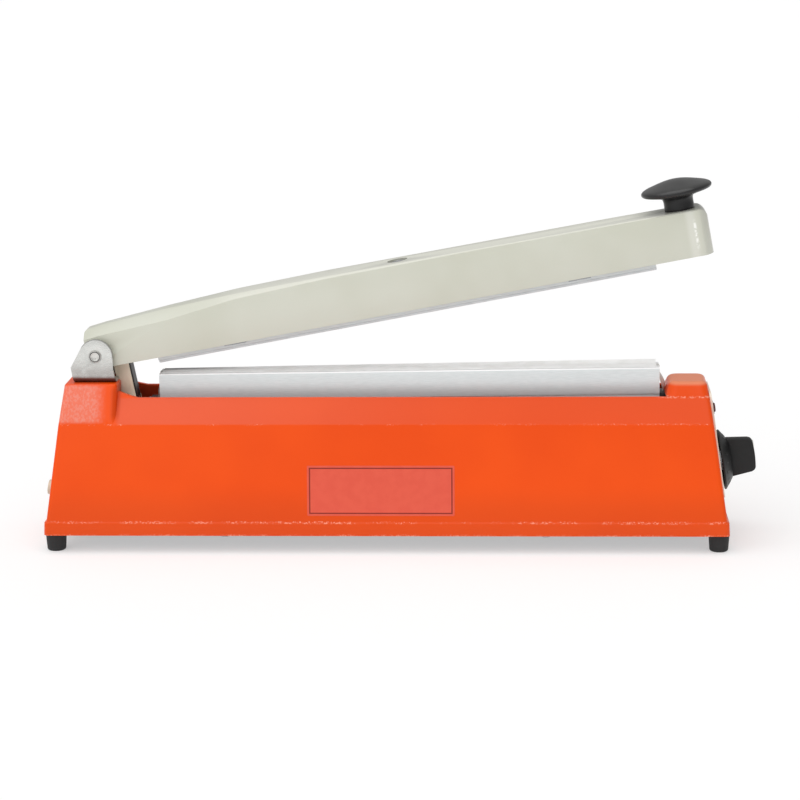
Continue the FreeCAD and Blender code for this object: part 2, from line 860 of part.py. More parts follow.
def arm_side_view(inset):
    """Side outline of the arm, with its rounded rear heel and nose."""
    rear = arm_rear + inset
    nose = arm_nose - inset
    top = arm_stations[4][1] + 1.0
    low = arm_lower_edge - 2.0 if inset else arm_lower_edge
    heel = arm_rear_radius - inset
    round_radius = nose_top_radius - inset
    nose_top = arm_stations[-1][1] - inset
    slope = (arm_stations[-1][1] - arm_stations[-2][1]) / (arm_stations[-1][0] - arm_stations[-2][0])
    rear_round = max(arm_rear_top_radius - inset, 0.5)
    rear_top = arm_top_at(arm_rear) - inset
    cosine = math.cos(math.pi / 4)
    start = Vector(rear, 0, low + heel)
    end = Vector(rear + heel, 0, low)
    middle = Vector(rear + heel * (1 - cosine), 0, low + heel * (1 - cosine))
    nose_low = Vector(nose, 0, low)
    nose_high = Vector(nose, 0, nose_top - round_radius)
    nose_mid = Vector(nose - round_radius * (1 - cosine), 0, nose_top - round_radius * (1 - cosine))
    top_end = Vector(nose - round_radius, 0, nose_top - slope * round_radius)
    above_end = Vector(nose - 2 * round_radius, 0, top)
    above_start = Vector(rear + 2 * rear_round, 0, top)
    rear_end = Vector(rear + rear_round, 0, rear_top)
    rear_mid = Vector(rear + rear_round * (1 - cosine), 0, rear_top - rear_round * (1 - cosine))
    rear_start = Vector(rear, 0, rear_top - rear_round)
    edges = [
        Part.Arc(start, middle, end).toShape(),
        Part.LineSegment(end, nose_low).toShape(),
        Part.LineSegment(nose_low, nose_high).toShape(),
        Part.Arc(nose_high, nose_mid, top_end).toShape(),
        Part.LineSegment(top_end, above_end).toShape(),
        Part.LineSegment(above_end, above_start).toShape(),
        Part.LineSegment(above_start, rear_end).toShape(),
        Part.Arc(rear_end, rear_mid, rear_start).toShape(),
        Part.LineSegment(rear_start, start).toShape(),
    ]
    face = Part.Face(Part.Wire(edges))
    half_width = arm_stations[-1][4] + 5.0
    face.translate(Vector(0, -half_width, 0))
    return face.extrude(Vector(0, 2 * half_width, 0))


def arm_plan_view(inset):
    """Plan outline of the arm, with its nose corners rounded."""
    half_width = arm_stations[-1][4] + 1.0 - inset
    rear = arm_rear - 5.0
    low_z = arm_lower_edge - 3.0
    high_z = arm_stations[4][1] + 5.0
    block = box((rear, arm_nose - inset), (-half_width, half_width), (low_z, high_z))
    corners = [e for e in block.Edges if is_upright(e) and e.CenterOfMass.x > 0]
    return block.makeFillet(nose_plan_radius - inset, corners)


def arm_shell():
    """Moulded arm, hollow from below, with cheeks for the bush and a boss for the pad."""
    outer = arm_form(0.0).common(arm_side_view(0.0)).common(arm_plan_view(0.0))
    hollow = arm_form(arm_wall).common(arm_side_view(arm_wall)).common(arm_plan_view(arm_wall))
    shell = outer.cut(hollow)
    half_width = arm_half_width_at(0.0)
    cheek = rod(bush_radius + arm_wall, (0, -half_width, 0), Y_AXIS, 2 * half_width)
    boss_span = (tongue_screw_along[0] - tongue_boss_margin, tongue_screw_along[1] + tongue_boss_margin)
    boss_half = tongue_boss_width / 2
    boss = box(boss_span, (-boss_half, boss_half), (tongue_top, arm_stations[2][1]))
    pad_boss_height = arm_top_at(arm_screw_along) - holder_back - 1.0
    pad_boss = rod(arm_boss_radius, (arm_screw_along, 0, holder_back), Z_AXIS, pad_boss_height)
    knob_boss_low = arm_top_at(knob_along) - knob_boss_depth
    knob_boss = rod(stem_radius - 1.0, (knob_along, 0, knob_boss_low), Z_AXIS, knob_boss_depth - 1.0)
    pieces = [cheek, boss, pad_boss, knob_boss]
    for along in (*roof_rib_positions, arm_nose - nose_rib_inset):
        top = arm_top_at(along)
        span = (along - roof_rib_thickness / 2, along + roof_rib_thickness / 2)
        pieces.append(box(span, (-20, 20), (top - arm_wall - roof_rib_depth, top)))
    shell = fuse(shell, *[piece.common(outer) for piece in pieces])
    shell = shell.cut(rod(bush_radius, (0, -20, 0), Y_AXIS, 40))
    top = arm_top_at(arm_screw_along)
    shell = shell.cut(rod(arm_recess_radius, (arm_screw_along, 0, top - arm_recess_depth), Z_AXIS, 10))
    through = large_screw[0] + screw_clearance
    shell = shell.cut(rod(through, (arm_screw_along, 0, holder_back - 1), Z_AXIS, 30))
    for along in tongue_screw_along:
        shell = shell.cut(rod(small_screw[0], (along, 0, tongue_top - 1), Z_AXIS, tongue_screw_depth + 2))
    knob_hole = rod(large_screw[0] + screw_clearance, (knob_along, 0, 0), Z_AXIS, 40)
    return shell.cut(knob_hole)


def tongue_outline():
    """Side view of the tongue: flange inside the arm, then the leg down to its ankle."""
    flange_low = tongue_top - tongue_flange_thickness
    return [
        (tongue_rear_top, tongue_top),
        (tongue_flange_end, tongue_top),
        (tongue_flange_end, flange_low),
        (tongue_front, flange_low),
        (tongue_front, tongue_foot),
        (tongue_rear, tongue_foot),
        (tongue_rear, tongue_ankle),
        (tongue_rear_top, tongue_calf),
    ]


def arm_tongue():
    """Leg that hangs from the arm into the trough, with a broad foot for the springs."""
    leg = outline_y(tongue_outline(), tongue_width / 2)
    half_foot = tongue_foot_width / 2
    shin = box((tongue_rear, tongue_front), (-half_foot, half_foot), (tongue_foot, tongue_ankle))
    sole_z = (tongue_foot, tongue_foot + tongue_foot_thickness)
    sole = box((tongue_foot_rear, tongue_front), (-half_foot, half_foot), sole_z)
    leg = fuse(leg, shin, sole)
    clearance = bush_radius + arm_wall + side_running_gap
    leg = leg.cut(rod(clearance, (0, -20, 0), Y_AXIS, 40))
    for along in tongue_screw_along:
        leg = leg.cut(rod(small_screw[0] + screw_clearance, (along, 0, -2), Z_AXIS, 10))
    for height in striker_rivet_heights:
        leg = leg.cut(rod(small_screw[0], (tongue_rear - 6, 0, height), X_AXIS, 20))
    notch_half = tongue_notch_width / 2
    notch_z = (sole_z[0] - 1, sole_z[1] + 1)
    return leg.cut(box((tongue_foot_rear - 1, tongue_rear), (-notch_half, notch_half), notch_z))


def tongue_striker():
    """Dark steel strip on the front of the tongue, which meets the stop."""
    span = (tongue_front, tongue_front + striker_thickness)
    strip = box(span, (-tongue_width / 2, tongue_width / 2), (tongue_foot, striker_top))
    for height in striker_rivet_heights:
        strip = strip.cut(rod(small_screw[0], (tongue_rear - 6, 0, height), X_AXIS, 20))
    return strip


def striker_rivets():
    """Flush rivets through the striker and the tongue."""
    length = tongue_front + striker_thickness - tongue_rear
    starts = [(tongue_rear, 0, height) for height in striker_rivet_heights]
    return [rod(small_screw[0], start, X_AXIS, length) for start in starts]


def tongue_screws():
    """Screws up through the tongue's flange into the arm."""
    seat_z = tongue_top - tongue_flange_thickness
    length = tongue_flange_thickness + tongue_screw_depth
    return [screw(small_screw, (along, 0, seat_z), Z_AXIS, length) for along in tongue_screw_along]


def arm_bush():
    """Steel bush pressed through the arm's cheeks."""
    half_width = arm_half_width_at(0.0)
    tube = rod(bush_radius, (0, -half_width, 0), Y_AXIS, 2 * half_width)
    return tube.cut(rod(pin_radius + pin_running_gap, (0, -20, 0), Y_AXIS, 40))


def pad_holder():
    """Aluminium channel under the arm, with a slot for the pad."""
    half = holder_width / 2
    low = -(pad_drop - holder_lip)
    holder = box((holder_start, holder_end), (-half, half), (low, holder_back))
    slot_top = -(pad_drop - pad_depth)
    slot_z = (low + pad_lip_height, slot_top)
    span = (holder_start - 1, holder_end + 1)
    slot = box(span, (-pad_width / 2, pad_width / 2), slot_z)
    mouth = box(span, (-pad_lip_width / 2, pad_lip_width / 2), (low - 1, slot_top))
    holder = holder.cut(slot).cut(mouth)
    relief_z = (slot_top + holder_web, holder_back - holder_web)
    half_relief = half - holder_web
    relief = box(span, (-half_relief, half_relief), relief_z)
    holder = holder.cut(relief)
    return holder.cut(rod(large_screw[0], (arm_screw_along, 0, slot_top), Z_AXIS, 20))


def silicone_pad():
    """Silicone strip held in the channel's slot, with a broad sole below."""
    span = (holder_start, holder_end)
    low = -(pad_drop - holder_lip)
    slot_top = -(pad_drop - pad_depth)
    head = box(span, (-pad_width / 2, pad_width / 2), (low + pad_lip_height, slot_top))
    neck = box(span, (-pad_lip_width / 2, pad_lip_width / 2), (-pad_drop, slot_top))
    half_sole = pad_sole_width / 2
    sole = box(span, (-half_sole, half_sole), (-pad_drop, low))
    return fuse(head, neck, sole)


def pad_screw():
    """Screw from the recess in the arm's top down into the pad's channel."""
    seat_z = arm_top_at(arm_screw_along) - arm_recess_depth
    down = Vector(0, 0, -1)
    length = seat_z - holder_back + holder_web
    return screw(large_screw, (arm_screw_along, 0, seat_z), down, length)


def holder_clips():
    """Spring saddles that steady the channel between the arm's sides."""
    clips = []
    outer = arm_stations[3][4] - arm_wall
    half = holder_width / 2
    low = arm_lower_edge - 1.0
    for along in clip_positions:
        span = (along - clip_length / 2, along + clip_length / 2)
        saddle = box(span, (-half - clip_sheet, half + clip_sheet), (low, holder_back + clip_sheet))
        saddle = saddle.cut(box(span, (-half, half), (low - 1, holder_back)))
        wings = []
        for side in (-1, 1):
            y_range = sorted((side * half, side * outer))
            wings.append(box(span, y_range, (low, low + clip_sheet)))
        clips.append(fuse(saddle, *wings))
    return clips


def press_knob():
    """Mushroom knob at the arm's nose."""
    base = arm_top_at(knob_along) - 1.0
    corners = [
        (0.0, base),
        (stem_radius, base),
        (stem_radius - 0.4, cap_low - 4.0),
        (stem_radius + 1.0, cap_low - 2.4),
        (cap_radius - 1.0, cap_low - 0.3),
        (cap_radius, cap_low + 0.7),
        (cap_radius, cap_low + cap_edge_height - 1.3),
        (cap_radius - 1.2, cap_low + cap_edge_height),
    ]
    points = [Vector(r, 0, h) for r, h in corners]
    rim = points[-1]
    top = Vector(0, 0, knob_top)
    rise = knob_top - rim.z
    dome_radius = (rim.x ** 2 + rise ** 2) / (2 * rise)
    half_turn = math.asin(rim.x / dome_radius) / 2
    fall = dome_radius * (1 - math.cos(half_turn))
    middle = Vector(dome_radius * math.sin(half_turn), 0, knob_top - fall)
    edges = [Part.LineSegment(a, b).toShape() for a, b in zip(points, points[1:])]
    edges.append(Part.Arc(rim, middle, top).toShape())
    edges.append(Part.LineSegment(top, points[0]).toShape())
    knob = Part.Face(Part.Wire(edges)).revolve(Vector(0, 0, 0), Z_AXIS, 360)
    knob.translate(Vector(knob_along, 0, 0))
    knob = knob.cut(arm_form(0.0))
    hole_low = arm_top_at(knob_along) - knob_boss_depth
    return knob.cut(rod(large_screw[0], (knob_along, 0, hole_low), Z_AXIS, knob_screw_length + 0.5))


def press_knob_screw():
    """Screw up through the arm's roof into the knob."""
    seat_z = arm_top_at(knob_along) - knob_boss_depth
    return screw(large_screw, (knob_along, 0, seat_z), Z_AXIS, knob_screw_length)


def sealing_bar():
    """Aluminium extrusion with a slot below and a groove along each side."""
    half = bar_width / 2
    bar = box((bar_start, bar_end), (-half, half), (bar_bottom, bar_top))
    top_edges = [e for e in bar.Edges if is_long_low(e, bar_top, half)]
    bar = bar.makeFillet(bar_edge_radius, top_edges)
    slot_z = (bar_bottom - 1, bar_bottom + bar_slot_depth)
    slot = box((bar_start - 1, bar_end + 1), (-bar_slot_width / 2, bar_slot_width / 2), slot_z)
    bar = bar.cut(slot)
    groove_z = (bar_top - bar_groove_drop - bar_groove_height, bar_top - bar_groove_drop)
    for side in (-1, 1):
        y_range = sorted((side * (half - bar_groove_depth), side * (half + 1)))
        bar = bar.cut(box((bar_start - 1, bar_end + 1), y_range, groove_z))
    for side in (-1, 1):
        bar = bar.cut(terminal_hole(side))
    bar = on_bar(bar)
    for along in stand_positions:
        depth = bar_screw_reach() + bar_screw_end_gap
        bar = bar.cut(rod(medium_screw[0], (stand_x(along), 0, crossbar_top_z), Z_AXIS, depth))
    return bar


def bar_screw_reach():
    """How far the bar's screws reach above the crossbars."""
    return arm_point(stand_positions[-1], bar_bottom, bar_tilt)[1] - crossbar_top_z + bar_screw_depth


def bar_stands():
    """Insulating blocks between the crossbars and the tilted bar."""
    above = on_bar(box((bar_start - 20, bar_end + 20), (-30, 30), (bar_bottom, bar_bottom + 60)))
    stands = []
    for along in stand_positions:
        x = stand_x(along)
        span = (x - stand_length / 2, x + stand_length / 2)
        block = box(span, (-stand_width / 2, stand_width / 2), (crossbar_top_z, crossbar_top_z + 40))
        block = block.cut(above)
        hole = rod(medium_screw[0] + screw_clearance, (x, 0, crossbar_top_z - 1), Z_AXIS, 40)
        stands.append(block.cut(hole))
    return stands


def bar_screws():
    """Screws from below, through crossbar and stand, into the bar."""
    low_z = crossbar_top_z - crossbar_height
    length = crossbar_height + bar_screw_reach()
    seats = [(stand_x(along), 0, low_z) for along in stand_positions]
    return [screw(medium_screw, seat, Z_AXIS, length) for seat in seats]


def insulating_tape():
    """Thin tape between the bar and the heating element."""
    span = (bar_start + cloth_end_margin, bar_end - cloth_end_margin)
    half = base_tape_width / 2
    return on_bar(box(span, (-half, half), (bar_top, bar_top + base_tape_thickness)))


def heating_element():
    """Flat ribbon along the bar, with a tail down to the terminal at each end."""
    low = bar_top + base_tape_thickness
    high = low + element_thickness
    gap = element_tail_gap
    drop = bar_top - element_tail_drop
    left_out = bar_start - gap - element_thickness
    left_in = bar_start - gap
    right_in = bar_end + gap
    right_out = right_in + element_thickness * 1.3
    points = [
        (left_out, high),
        (right_out, high),
        (right_out + element_tail_lean, drop),
        (right_in + element_tail_lean, drop),
        (right_in, low),
        (left_in, low),
        (left_in, drop),
        (left_out, drop),
    ]
    return on_bar(outline_y(points, element_width / 2))


def cover_cloth():
    """Smooth non-stick cloth over the element, cut out above the ribbon's thickness."""
    low = bar_top + base_tape_thickness
    high = low + element_thickness + cover_thickness
    span = (bar_start + cloth_end_margin, bar_end - cloth_end_margin)
    cloth = box(span, (-base_tape_width / 2, base_tape_width / 2), (low, high))
    channel_z = (low - 1, low + element_thickness)
    channel = box((bar_start, bar_end), (-element_width / 2, element_width / 2), channel_z)
    return on_bar(cloth.cut(channel))


def terminal(side):
    """Black terminal block at one end of the bar."""
    half = terminal_width / 2
    top = bar_top - element_tail_drop
    face = bar_face(side)
    x_range = sorted((face, face + side * terminal_length))
    block = box(x_range, (-half, half), (top - terminal_height, top))
    return on_bar(block.cut(terminal_hole(side)))


def bar_face(side):
    """Where the bar ends, in its own frame: side is -1 left or 1 right."""
    return bar_end if side > 0 else bar_start


def terminal_screw_height():
    """Height of the terminal screws in the bar's frame."""
    return bar_top - element_tail_drop - terminal_screw_drop


def terminal_hole(side):
    """Hole for a terminal's screw, through the block and into the bar's end."""
    start = bar_face(side) + side * terminal_length
    inward = Vector(-side, 0, 0)
    length = terminal_length + terminal_screw_depth + screw_end_gap
    return rod(small_screw[0], (start, 0, terminal_screw_height()), inward, length)


def terminal_screws():
    """Screws that hold the two blocks to the bar's ends."""
    screws = []
    length = terminal_length + terminal_screw_depth
    for side in (-1, 1):
        seat = (bar_face(side) + side * terminal_length, 0, terminal_screw_height())
        screws.append(on_bar(screw(small_screw, seat, Vector(-side, 0, 0), length)))
    return screws


def stop_face_x():
    """X of the crossbar face that carries the stop, ahead of the open striker."""
    front = tongue_front + striker_thickness + side_running_gap
    middle_z = crossbar_top_z - stop_height / 2
    cosine = math.cos(math.radians(open_angle))
    sine = math.sin(math.radians(open_angle))
    up = (middle_z - pivot_z - front * sine) / cosine
    return arm_point(front, up)[0] + stop_thickness


def arm_stop():
    """Rubber buffer that the striker rests against when the arm is open."""
    front = tongue_front + striker_thickness + side_running_gap
    back = stop_face_x()
    high_z = crossbar_top_z
    low_z = crossbar_top_z - stop_height
    cosine = math.cos(math.radians(open_angle))
    sine = math.sin(math.radians(open_angle))

    def front_x(z):
        return arm_point(front, (z - pivot_z - front * sine) / cosine)[0]

    points = [(front_x(low_z), low_z), (back, low_z), (back, high_z), (front_x(high_z), high_z)]
    return outline_y(points, stop_width / 2)


def spring_place():
    """Middle and height of the return spring's top, under the tongue's foot."""
    middle = (tongue_foot_rear + tongue_front) / 2 + 1.0
    x, z = arm_point(middle, tongue_foot)
    drop = (spring_radius + spring_wire_radius) * math.tan(math.radians(open_angle))
    return x, z - drop - 0.3


def spring_rows():
    """Y of the two springs, one each side of the switch."""
    return (-spring_spacing / 2, spring_spacing / 2)


def return_springs():
    """Pair of compression springs from their seats to the tongue's foot."""
    x, top = spring_place()
    low = rear_crossbar_top_z + seat_thickness + spring_wire_radius
    rise = top - spring_wire_radius - low
    springs = []
    for y in spring_rows():
        helix = Part.makeHelix(rise / spring_turns, rise, spring_radius)
        helix.translate(Vector(x, y, low))
        start = Vector(x + spring_radius, y, low)
        section = Part.Wire(Part.makeCircle(spring_wire_radius, start, Y_AXIS))
        springs.append(Part.Wire(helix).makePipeShell([section], True, True))
    return springs


def spring_seats():
    """Pressed seats, each with a stub inside its spring."""
    x = spring_place()[0]
    stub_radius = spring_radius - spring_wire_radius - 0.4
    seats = []
    for y in spring_rows():
        seat = rod(seat_radius, (x, y, rear_crossbar_top_z), Z_AXIS, seat_thickness)
        stub = rod(stub_radius, (x, y, rear_crossbar_top_z), Z_AXIS, seat_thickness + seat_stub_height)
        seats.append(fuse(seat, stub))
    return seats


def lever_pivot():
    """Machine X and Z of the switch lever's pivot."""
    return switch_face_x + lever_offset, lever_pivot_z


def lever_angle(arm_angle):
    """Lean of the switch lever from upright that keeps its tip by the tongue."""
    cosine = math.cos(math.radians(arm_angle))
    sine = math.sin(math.radians(arm_angle))
    x, z = lever_pivot()
    target = tongue_rear - lever_gap - lever_sheet / 2
    reach = target - (x - pivot_x) * cosine - (z - pivot_z) * sine
    return math.degrees(math.asin(reach / lever_length)) - arm_angle


def button_front_x(angle):
    """X of the button's tip behind the lever at an angle of lean."""
    lean = math.radians(angle)
    behind = (lever_sheet / 2 + lever_gap) / math.cos(lean)
    return lever_pivot()[0] + (button_height - button_size / 2) * math.tan(lean) - behind


def switch_body():
    """Snap switch housing with ears and a pin for its lever."""
    half = switch_width / 2
    x_range = (switch_face_x - switch_depth, switch_face_x)
    body = box(x_range, (-half, half), (switch_low_z, switch_low_z + switch_height))
    x, z = lever_pivot()
    ear_inside = lever_width / 2 + 0.3
    pieces = []
    for side in (-1, 1):
        y_range = sorted((side * ear_inside, side * (ear_inside + 1.0)))
        pieces.append(box((switch_face_x - 1, x + 1.2), y_range, (z - 1.2, z + 1.2)))
    pieces.append(rod(lever_pin_radius, (x, -ear_inside - 0.5, z), Y_AXIS, 2 * ear_inside + 1))
    body = fuse(body, *pieces)
    slot_half = button_size / 2 + button_slot_gap
    button_z = z + button_height
    back = button_front_x(lever_angle(bar_tilt)) - button_reach - 1.5
    slot_z = (button_z - slot_half, button_z + slot_half)
    body = body.cut(box((back, switch_face_x + 1), (-slot_half, slot_half), slot_z))
    for x, z in switch_screw_places():
        body = body.cut(rod(small_screw[0], (x, -half - 1, z), Y_AXIS, switch_width + 2))
    return body


def switch_screw_places():
    """The switch's two mounting holes, in X and Z."""
    x = switch_face_x - switch_depth + 3.2
    middle = switch_low_z + switch_height / 2
    return [(x, middle - switch_hole_spacing / 2), (x, middle + switch_hole_spacing / 2)]


def switch_lever():
    """Leaf that the tongue pushes, turning on the switch's pin."""
    x, z = lever_pivot()
    half = lever_width / 2
    leaf = box((-lever_sheet / 2, lever_sheet / 2), (-half, half), (0.0, lever_length))
    barrel = rod(lever_barrel_radius, (0, -half, 0), Y_AXIS, lever_width)
    lever = fuse(leaf, barrel).cut(rod(lever_pin_radius + pin_running_gap, (0, -5, 0), Y_AXIS, 10))
    lever.rotate(Vector(0, 0, 0), Y_AXIS, lever_angle(open_angle))
    lever.translate(Vector(x, 0, z))
    return lever


def switch_button():
    """Plunger of the switch behind the lever."""
    z = lever_pivot_z + button_height
    half = button_size / 2
    front = button_front_x(lever_angle(open_angle))
    return box((front - button_reach, front), (-half, half), (z - half, z + half))


def switch_bracket_screw_place():
    """Screw of the switch bracket's foot, in X and Y."""
    out = switch_width / 2 + switch_bracket_sheet + switch_bracket_screw_out
    return (switch_face_x - switch_depth / 2, out)


def switch_bracket():
    """Angle that holds the switch above the rear crossbar."""
    inner = switch_width / 2
    outer = inner + switch_bracket_sheet
    x_range = (switch_face_x - switch_depth, switch_face_x - 1.0)
    top = switch_low_z + switch_height
    upright = box(x_range, (inner, outer), (rear_crossbar_top_z, top))
    foot_z = (rear_crossbar_top_z, rear_crossbar_top_z + switch_bracket_sheet)
    bracket = fuse(upright, box(x_range, (inner, outer + switch_bracket_foot), foot_z))
    for x, z in switch_screw_places():
        bracket = bracket.cut(rod(small_screw[0], (x, inner - 1, z), Y_AXIS, 5))
    x, y = switch_bracket_screw_place()
    return bracket.cut(rod(small_screw[0] + screw_clearance, (x, y, foot_z[0] - 1), Z_AXIS, 4))


def switch_screws():
    """Screws through the switch into its bracket, and the bracket's own screw."""
    half = switch_width / 2
    length = switch_width + switch_bracket_sheet
    screws = [screw(small_screw, (x, -half, z), Y_AXIS, length) for x, z in switch_screw_places()]
    x, y = switch_bracket_screw_place()
    seat_z = rear_crossbar_top_z + switch_bracket_sheet
    down = Vector(0, 0, -1)
    screws.append(screw(small_screw, (x, y, seat_z), down, switch_bracket_screw_length))
    return screws


def dial_plate():
    """Plate on the right end under the timer knob and the lamp."""
    half = dial_plate_width / 2
    plate = box((0, dial_plate_thickness), (-half, half), (dial_plate_low, dial_plate_high))
    corners = [e for e in plate.Edges if abs(e.Vertexes[0].X - e.Vertexes[-1].X) > 1.0]
    plate = plate.makeFillet(dial_plate_corner, corners)
    plate = plate.cut(rod(pot_bushing_radius, (-1, 0, 0), X_AXIS, 10))
    plate = plate.cut(rod(lamp_hole_radius, (-1, 0, lamp_up), X_AXIS, 10))
    return on_right_end(plate)


def potentiometer():
    """Timer potentiometer behind the wall, with its threaded neck."""
    back = -wall - pot_body_depth
    body = rod(pot_body_radius, (back, 0, 0), X_AXIS, pot_body_depth)
    neck_length = wall + dial_plate_thickness + pot_nut_height
    neck = rod(pot_bushing_radius, (-wall, 0, 0), X_AXIS, neck_length)
    unit = fuse(body, neck)
    bore = rod(pot_shaft_radius + pin_running_gap, (back + 2.0, 0, 0), X_AXIS, 40)
    return on_right_end(unit.cut(bore))


def timer_shaft():
    """Shaft of the potentiometer, which carries the knob."""
    start = -wall - pot_body_depth + 2.3
    length = dial_plate_thickness + dial_knob_gap + skirt_height + shaft_hold - start
    return on_right_end(rod(pot_shaft_radius, (start, 0, 0), X_AXIS, length))


def timer_nut():
    """Hexagon nut on the potentiometer's neck, under the knob's skirt."""
    radius = pot_nut_size / 2 / math.cos(math.pi / 6)
    angles = [math.radians(60 * step) for step in range(6)]
    corners = [Vector(dial_plate_thickness, radius * math.cos(a), radius * math.sin(a)) for a in angles]
    nut = Part.Face(Part.makePolygon(corners + corners[:1])).extrude(Vector(pot_nut_height, 0, 0))
    return on_right_end(nut.cut(rod(pot_bushing_radius, (0, 0, 0), X_AXIS, 10)))


def timer_knob():
    """Knob with a coned skirt and a finger grip that reaches further on the pointer's side."""
    low = dial_plate_thickness + dial_knob_gap
    tip = low + knob_length
    grip_low = low + skirt_height
    skirt = revolved_x([
        (low, 0.0),
        (low, skirt_radius),
        (low + skirt_rim, skirt_radius),
        (grip_low, grip_base_radius - grip_rise),
        (grip_low, 0.0),
    ])
    grip = revolved_x([
        (grip_low - 1.0, 0.0),
        (grip_low - 1.0, grip_base_radius),
        (tip - grip_edge_radius, grip_tip_radius),
        (tip, grip_tip_radius - grip_edge_radius),
        (tip, 0.0),
    ])
    grip.translate(Vector(0, 0, grip_rise))
    half = grip_bar_width / 2
    slab = box((grip_low - 2.0, tip + 1), (-half, half), (-skirt_radius, skirt_radius))
    knob = fuse(skirt, grip.common(slab))
    knob = knob.cut(rod(skirt_radius - skirt_wall, (low - 1, 0, 0), X_AXIS, skirt_hollow + 1))
    knob = knob.cut(rod(pot_shaft_radius, (low, 0, 0), X_AXIS, skirt_height + shaft_hold))
    line = box((tip - pointer_depth, tip + 1), (-pointer_width / 2, pointer_width / 2), (0.0, 20))
    return on_right_end(knob.cut(line))


def knob_pointer():
    """Pale line let into the tip of the timer knob."""
    tip = dial_plate_thickness + dial_knob_gap + knob_length
    x_range = (tip - pointer_depth, tip)
    z_range = (0.0, grip_tip_radius - grip_edge_radius + grip_rise - 0.2)
    return on_right_end(box(x_range, (-pointer_width / 2, pointer_width / 2), z_range))


def lamp_body():
    """Lamp holder through the end wall, with a collar on the dial plate."""
    front = dial_plate_thickness
    collar = rod(lamp_radius, (front, 0, lamp_up), X_AXIS, lamp_collar_height)
    stem = rod(lamp_hole_radius, (front - lamp_body_length, 0, lamp_up), X_AXIS, lamp_body_length)
    seat = rod(lamp_lens_radius, (front - 2.0, 0, lamp_up), X_AXIS, 10)
    return on_right_end(fuse(collar, stem).cut(seat))


def lamp_lens():
    """Domed lens of the lamp."""
    start = dial_plate_thickness - 2.0
    length = 2.0 + lamp_collar_height + lamp_lens_height
    lens = rod(lamp_lens_radius, (start, 0, lamp_up), X_AXIS, length)
    tip = Vector(start + length, 0, lamp_up)
    return on_right_end(lens.makeFillet(lamp_lens_height * 0.8, [edge_nearest(lens, tip)]))


def cord_gland():
    """Gland for the mains cord in the left end, open from outside to inside."""
    profile = [
        (-wall - gland_tail, gland_bore_radius),
        (-wall - gland_tail, gland_neck_radius),
        (0.0, gland_neck_radius),
        (0.0, gland_collar_radius),
        (gland_collar_height, gland_collar_radius),
        (gland_collar_height, gland_neck_radius + 0.4),
        (gland_reach, gland_tip_radius),
        (gland_reach, gland_bore_radius),
    ]
    return on_left_end(revolved_x(profile))


def transformer_screw_places():
    """Screws of the transformer strap's two feet."""
    reach = core_length / 2 + strap_thickness + strap_foot / 2
    return [(core_x - reach, 0.0), (core_x + reach, 0.0)]


def transformer_core():
    """Laminated core with two windows."""
    x_range = (core_x - core_length / 2, core_x + core_length / 2)
    half = core_depth / 2
    core = box(x_range, (-half, half), (plate_top_z, plate_top_z + core_height))
    middle_z = plate_top_z + core_height / 2
    z_range = (middle_z - window_height / 2, middle_z + window_height / 2)
    for x in window_edges():
        core = core.cut(box((x, x + window_width), (-half - 1, half + 1), z_range))
    return core


def window_edges():
    """Left edge of each window, beside the middle leg of twice the outer legs' width."""
    leg = (core_length - 2 * window_width) / 4
    return [core_x - leg - window_width, core_x + leg]


def transformer_coil():
    """Wound bobbin round the core's middle leg."""
    leg = (core_length - 2 * window_width) / 4
    half_length = leg + window_width - 0.6
    half_depth = core_depth / 2 + coil_overhang
    middle_z = plate_top_z + core_height / 2
    z_range = (middle_z - window_height / 2 + 0.4, middle_z + window_height / 2 - 0.4)
    coil = box((core_x - half_length, core_x + half_length), (-half_depth, half_depth), z_range)
    coil = coil.makeFillet(4.0, [edge for edge in coil.Edges if is_upright(edge)])
    return coil.cut(box((core_x - leg, core_x + leg), (-core_depth / 2, core_depth / 2), (0, 100)))


def transformer_strap():
    """Steel strap over the core, with a foot at each end."""
    half = core_length / 2
    top = plate_top_z + core_height
    outer = half + strap_thickness
    low = plate_top_z
    points = [
        (core_x - outer - strap_foot, low),
        (core_x - half, low),
        (core_x - half, top),
        (core_x + half, top),
        (core_x + half, low),
        (core_x + outer + strap_foot, low),
        (core_x + outer + strap_foot, low + strap_thickness),
        (core_x + outer, low + strap_thickness),
        (core_x + outer, top + strap_thickness),
        (core_x - outer, top + strap_thickness),
        (core_x - outer, low + strap_thickness),
        (core_x - outer - strap_foot, low + strap_thickness),
    ]
    strap = outline_y(points, core_depth / 2 - strap_edge)
    for x, y in transformer_screw_places():
        strap = strap.cut(rod(small_screw[0], (x, y, low - 1), Z_AXIS, 5))
    return strap


def transformer_screws():
    """Screws up through the bottom plate into the strap's feet."""
    length = plate_thickness + strap_thickness + transformer_screw_end
    seats = [(x, y, foot_height) for x, y in transformer_screw_places()]
    return [screw(small_screw, seat, Z_AXIS, length) for seat in seats]


def board_screw_places():
    """The four corners at which the board stands."""
    half_x = board_length / 2 - standoff_inset
    half_y = board_width / 2 - standoff_inset
    return [(board_x + x, y) for x in (-half_x, half_x) for y in (-half_y, half_y)]


def board_low_z():
    """Underside of the timer board."""
    return plate_top_z + standoff_height


def timer_board():
    """Circuit board on its standoffs."""
    half = board_width / 2
    low = board_low_z()
    x_range = (board_x - board_length / 2, board_x + board_length / 2)
    board = box(x_range, (-half, half), (low, low + board_thickness))
    for x, y in board_screw_places():
        board = board.cut(rod(small_screw[0] + screw_clearance, (x, y, low - 1), Z_AXIS, 5))
    return board


def board_standoffs():
    """Posts between the bottom plate and the board."""
    posts = []
    for x, y in board_screw_places():
        post = rod(standoff_radius, (x, y, plate_top_z), Z_AXIS, standoff_height)
        posts.append(post.cut(rod(small_screw[0], (x, y, plate_top_z - 1), Z_AXIS, standoff_height + 2)))
    return posts


